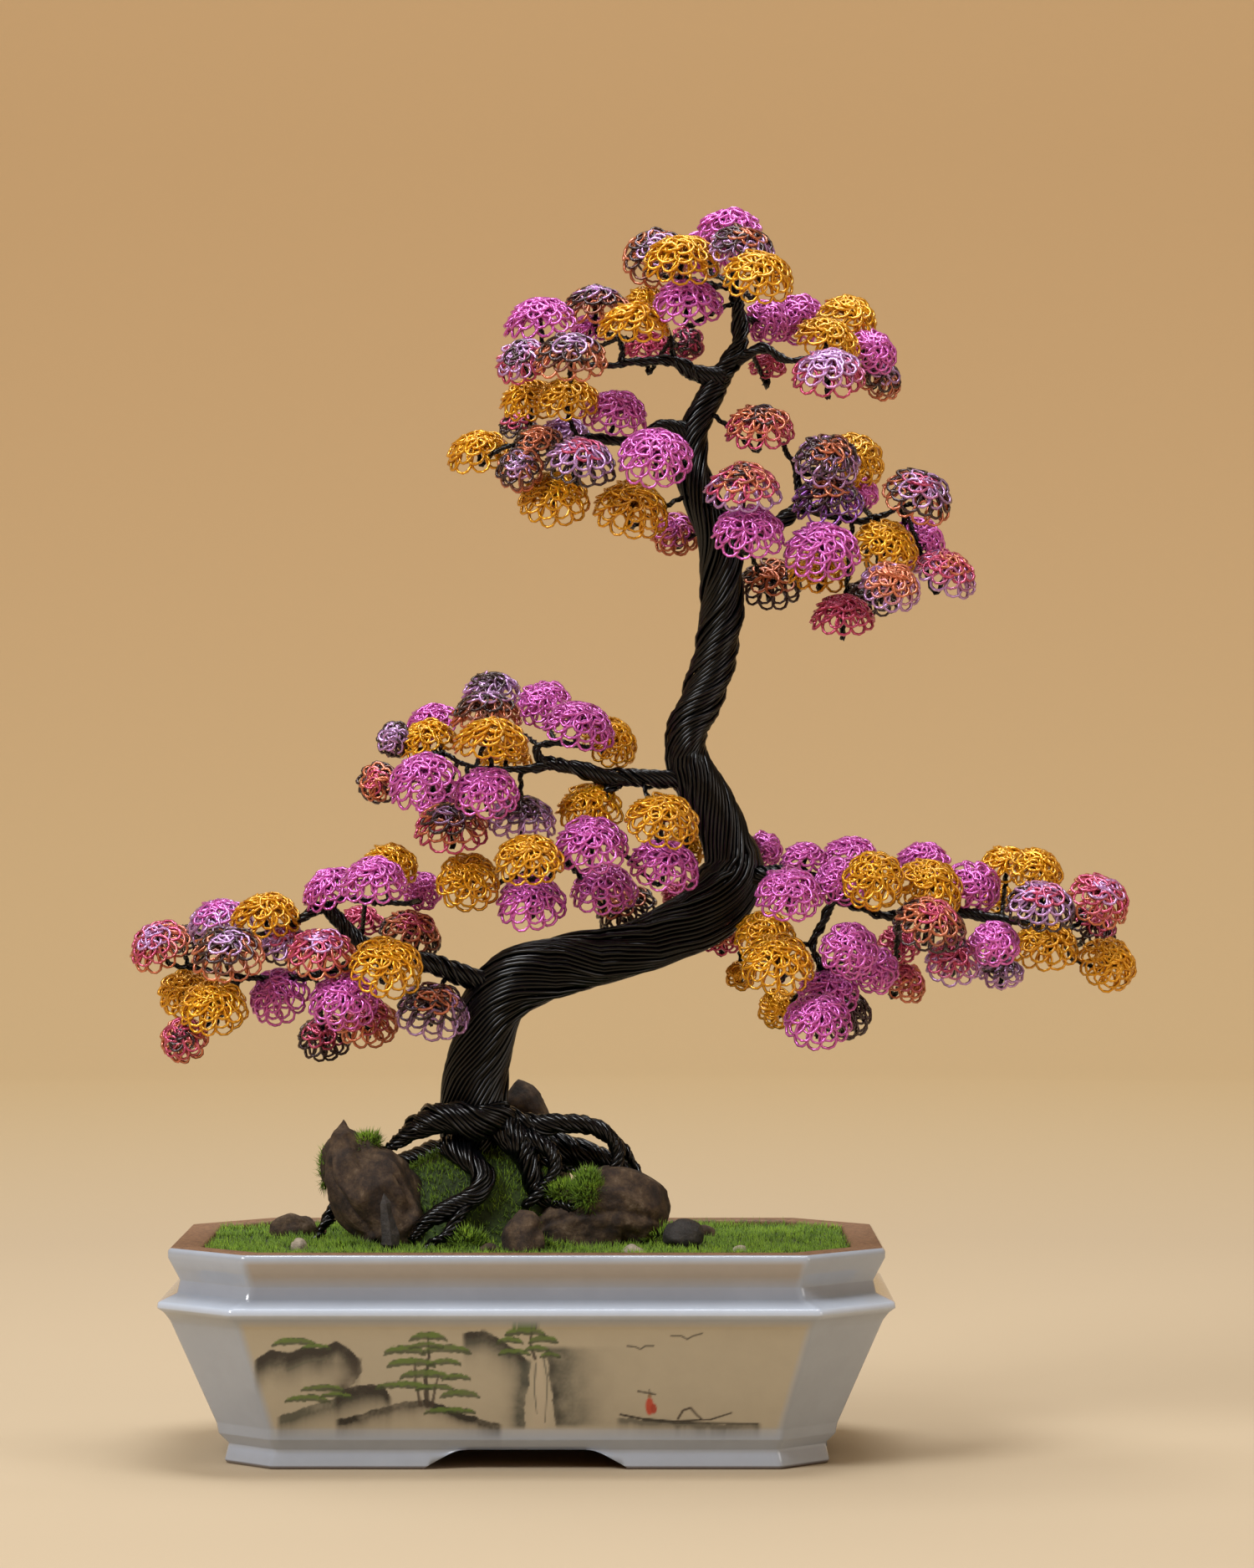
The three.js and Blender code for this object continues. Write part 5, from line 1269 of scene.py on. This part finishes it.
def build_rock(name, material, slot, readings, seed, replaced=True, facets=None):
    """A rock: a fat tube along its readings, drawn to a point at both ends. Its skin is
    pushed in and out by noise of three sizes, stretched along the rock so that it shows a
    grain; the middle size is folded, 1 - 2 |noise|, into ridges and crevices."""
    curve = line_of(readings, 0.4)
    spine, radius = curve[:, :3], np.maximum(curve[:, 3], 0.4)
    big = radius.max()
    rings, spokes = facets or (LARGE_ROCK if big > 8 else SMALL_ROCK)
    frame_of = np.concatenate([spine, *sides_of(spine, LINE_HINT), radius[:, None]], axis=1)
    pick = np.linspace(0, len(spine) - 1, rings)
    kept = np.stack([np.interp(pick, np.arange(len(spine)), column) for column in frame_of.T], axis=1)
    ends = np.sqrt(np.clip(1 - (2 * np.linspace(0, 1, rings) - 1) ** 8, 0, 1))
    size = (kept[:, 9] * np.maximum(ends, 0.04))[:, None]
    turn = 2 * np.pi * np.arange(spokes) / spokes
    out = swing(turn[None, :, None], kept[:, None, 3:6], kept[:, None, 6:9])
    along = np.broadcast_to((0.4 * pick * 0.35)[:, None], (rings, spokes))
    local = np.stack([along, size * np.cos(turn), size * np.sin(turn)], axis=-1)
    folded = 1 - 2 * np.abs(noise(local, 0.42 * big + 1, seed + 1))
    crevice = -np.clip(0.16 - np.abs(noise(local, 0.8 * big + 1, seed + 3)), 0, 1) / 0.16
    rough = (0.16 * noise(local, 1.1 * big + 1, seed) + 0.15 * folded + 0.17 * crevice) * big
    rough = rough + 0.05 * big * noise(local, 3.2, seed + 2) + 0.35 * noise(local, 1.1, seed + 4)
    points = kept[:, None, :3] + (size + rough * np.minimum(1, size / (0.3 * big)))[..., None] * out
    stone = Bin()
    stone.put(points, [grid_faces(rings, spokes, columns_close=True), end_caps(rings, spokes)])
    piece = stone.mesh(name + "_stone", material, smooth=not facets)
    return finished(piece, slot, *([name] if replaced else []))


def build_rocks():
    for i, (name, (material, slot, readings)) in enumerate(ROCKS.items()):
        facets = SHARD if name == "shard_slate" else None
        build_rock(name, material, slot, readings, 500 + 7 * i, facets=facets)
    build_rock("pebble_white", PALE_PEBBLE, "light_pebble", WHITE_PEBBLE, 601, replaced=False)


def on_rock(x, y):
    """True where a rock stands on the moss bed."""
    covered = np.zeros(x.shape, bool)
    for _, _, readings in ROCKS.values():
        for spot, radius in zip(*measured(readings)):
            below = spot[2] - SOIL_TOP
            reach = math.sqrt(max(radius ** 2 - min(below, radius) ** 2, 0))
            covered |= np.hypot(x - spot[0], y - spot[1]) < 0.92 * reach
    return covered


def build_moss():
    """Fibres all over the bed, more of them on the heap's steep sides, and cushions of
    moss on the rocks."""
    chance = np.random.default_rng(77)
    x = POT_X + chance.uniform(-BED_HALF_X, BED_HALF_X, FIBRES)
    y = POT_Y + chance.uniform(-BED_HALF_Y, BED_HALF_Y, FIBRES)
    fine = inside_octagon(x, y, 0.6) & ~on_rock(x, y)
    x, y = x[fine], y[fine]
    bed = np.stack([x, y, soil_height(x, y) - 0.3], -1)
    blades("moss_fibres", bed, chance.uniform(1.8, 4.6, len(x)), 78)
    around = unit(chance.normal(0, 1, (HEAP_FIBRES, 3)) * (1, 1, 0.8))
    around = around[(around[:, 2] > 0) & (around[:, 1] < 0.5)]
    skin = HEAP_MIDDLE * (1, 1, 0) + (0, 0, SOIL_TOP) + around * HEAP_HALF
    lowered = np.minimum(skin[:, 2], soil_height(skin[:, 0], skin[:, 1]) + 1)
    skin[:, 2] = np.where(around[:, 2] > 0.25, lowered, skin[:, 2])
    outward = around + (0, 0, 0.4)
    blades("moss_heap_fibres", skin, chance.uniform(1.6, 3.8, len(skin)), 79, 0.7, outward=outward)
    for i, (px, py, depth, radii, count) in enumerate(CUSHIONS):
        around = unit(chance.normal(0, 1, (count, 3)))
        spots = place(px, py, depth) + around * radii * chance.uniform(0.55, 1, (count, 1))
        lengths = chance.uniform(2.0, 4.8, count)
        blades(f"moss_cushion_{i + 1}", spots, lengths, 90 + i, 0.5, 0.6, around + (0, 0, 0.5))


# Cushions of moss on the rocks: px, py, depth, half sizes in millimetres, fibres
CUSHIONS = [
    (703, 1424, -22, (5.5, 4.0, 8.0), 1500), (676, 1424, -18, (7.0, 4.0, 3.4), 700),
    (441, 1366, -10, (4.5, 3.5, 3.0), 520), (389, 1398, -6, (1.6, 3.0, 7.5), 420),
    (420, 1494, -30, (9.0, 5.0, 3.0), 420), (560, 1486, -36, (7.0, 4.0, 5.0), 500),
    (650, 1492, -40, (5.0, 3.0, 2.5), 200), (790, 1480, -18, (8.0, 5.0, 4.0), 420)]


# Floor and lights

def build_stage():
    """A plain round sweep, the same from every side: a level floor under the work that
    curves up, by a quarter circle, into a low wall."""
    floor, bend, wall, spokes = 2400.0, 900.0, 1900.0, 96
    turn = np.linspace(0, np.pi / 2, 20)
    reach = np.concatenate([[floor / 4, floor / 2], floor + bend * np.sin(turn), [floor + bend]])
    height = np.concatenate([[0, 0], bend * (1 - np.cos(turn)), [wall]]) - 0.05
    around = 2 * np.pi * np.arange(spokes) / spokes
    level = reach[:, None, None] * compass(around)
    points = np.dstack([level, np.broadcast_to(height[:, None], level.shape[:2])])
    faces = [grid_faces(len(reach), spokes, columns_close=True)[:, ::-1], np.arange(spokes)[None, :]]
    add_mesh("sweep", points.reshape(-1, 3), faces, backdrop_material())


# Lamps: name, place, target, size in metres, watts, tint. The last lights the wall behind.
TREE_CENTRE, WALL_SPOT = (0.0, 0.0, 0.22), (0.0, 3.1, 0.5)
LAMPS = [
    ("key_softbox", (-1.2, -1.3, 1.6), TREE_CENTRE, (0.9, 0.9), 39, (0.95, 0.97, 1.0)),
    ("fill_softbox", (1.6, -1.2, 0.8), TREE_CENTRE, (1.1, 1.1), 8, (1.0, 0.97, 0.93)),
    ("top_softbox", (0.1, 0.1, 1.9), TREE_CENTRE, (1.2, 0.8), 26, (0.93, 0.96, 1.0)),
    ("wall_softbox", (0.0, 1.2, 2.5), WALL_SPOT, (2.6, 0.9), 32, (1.0, 0.96, 0.91))]
AIR_COLOUR, AIR_STRENGTH = "#e9cfa8", 0.36


def build_lights():
    for lamp in LAMPS:
        add_lamp(*lamp)
    world = bpy.data.worlds.new("studio")
    world.use_nodes = True
    air = world.node_tree.nodes["Background"].inputs
    air[0].default_value = rgba(AIR_COLOUR)
    air[1].default_value = AIR_STRENGTH
    bpy.context.scene.world = world
    bpy.context.scene.view_settings.view_transform = "Standard"


add_camera()
build_trunk()
build_branches()
build_foliage()
build_pot()
build_ground()
build_rocks()
build_moss()
build_stage()
build_lights()
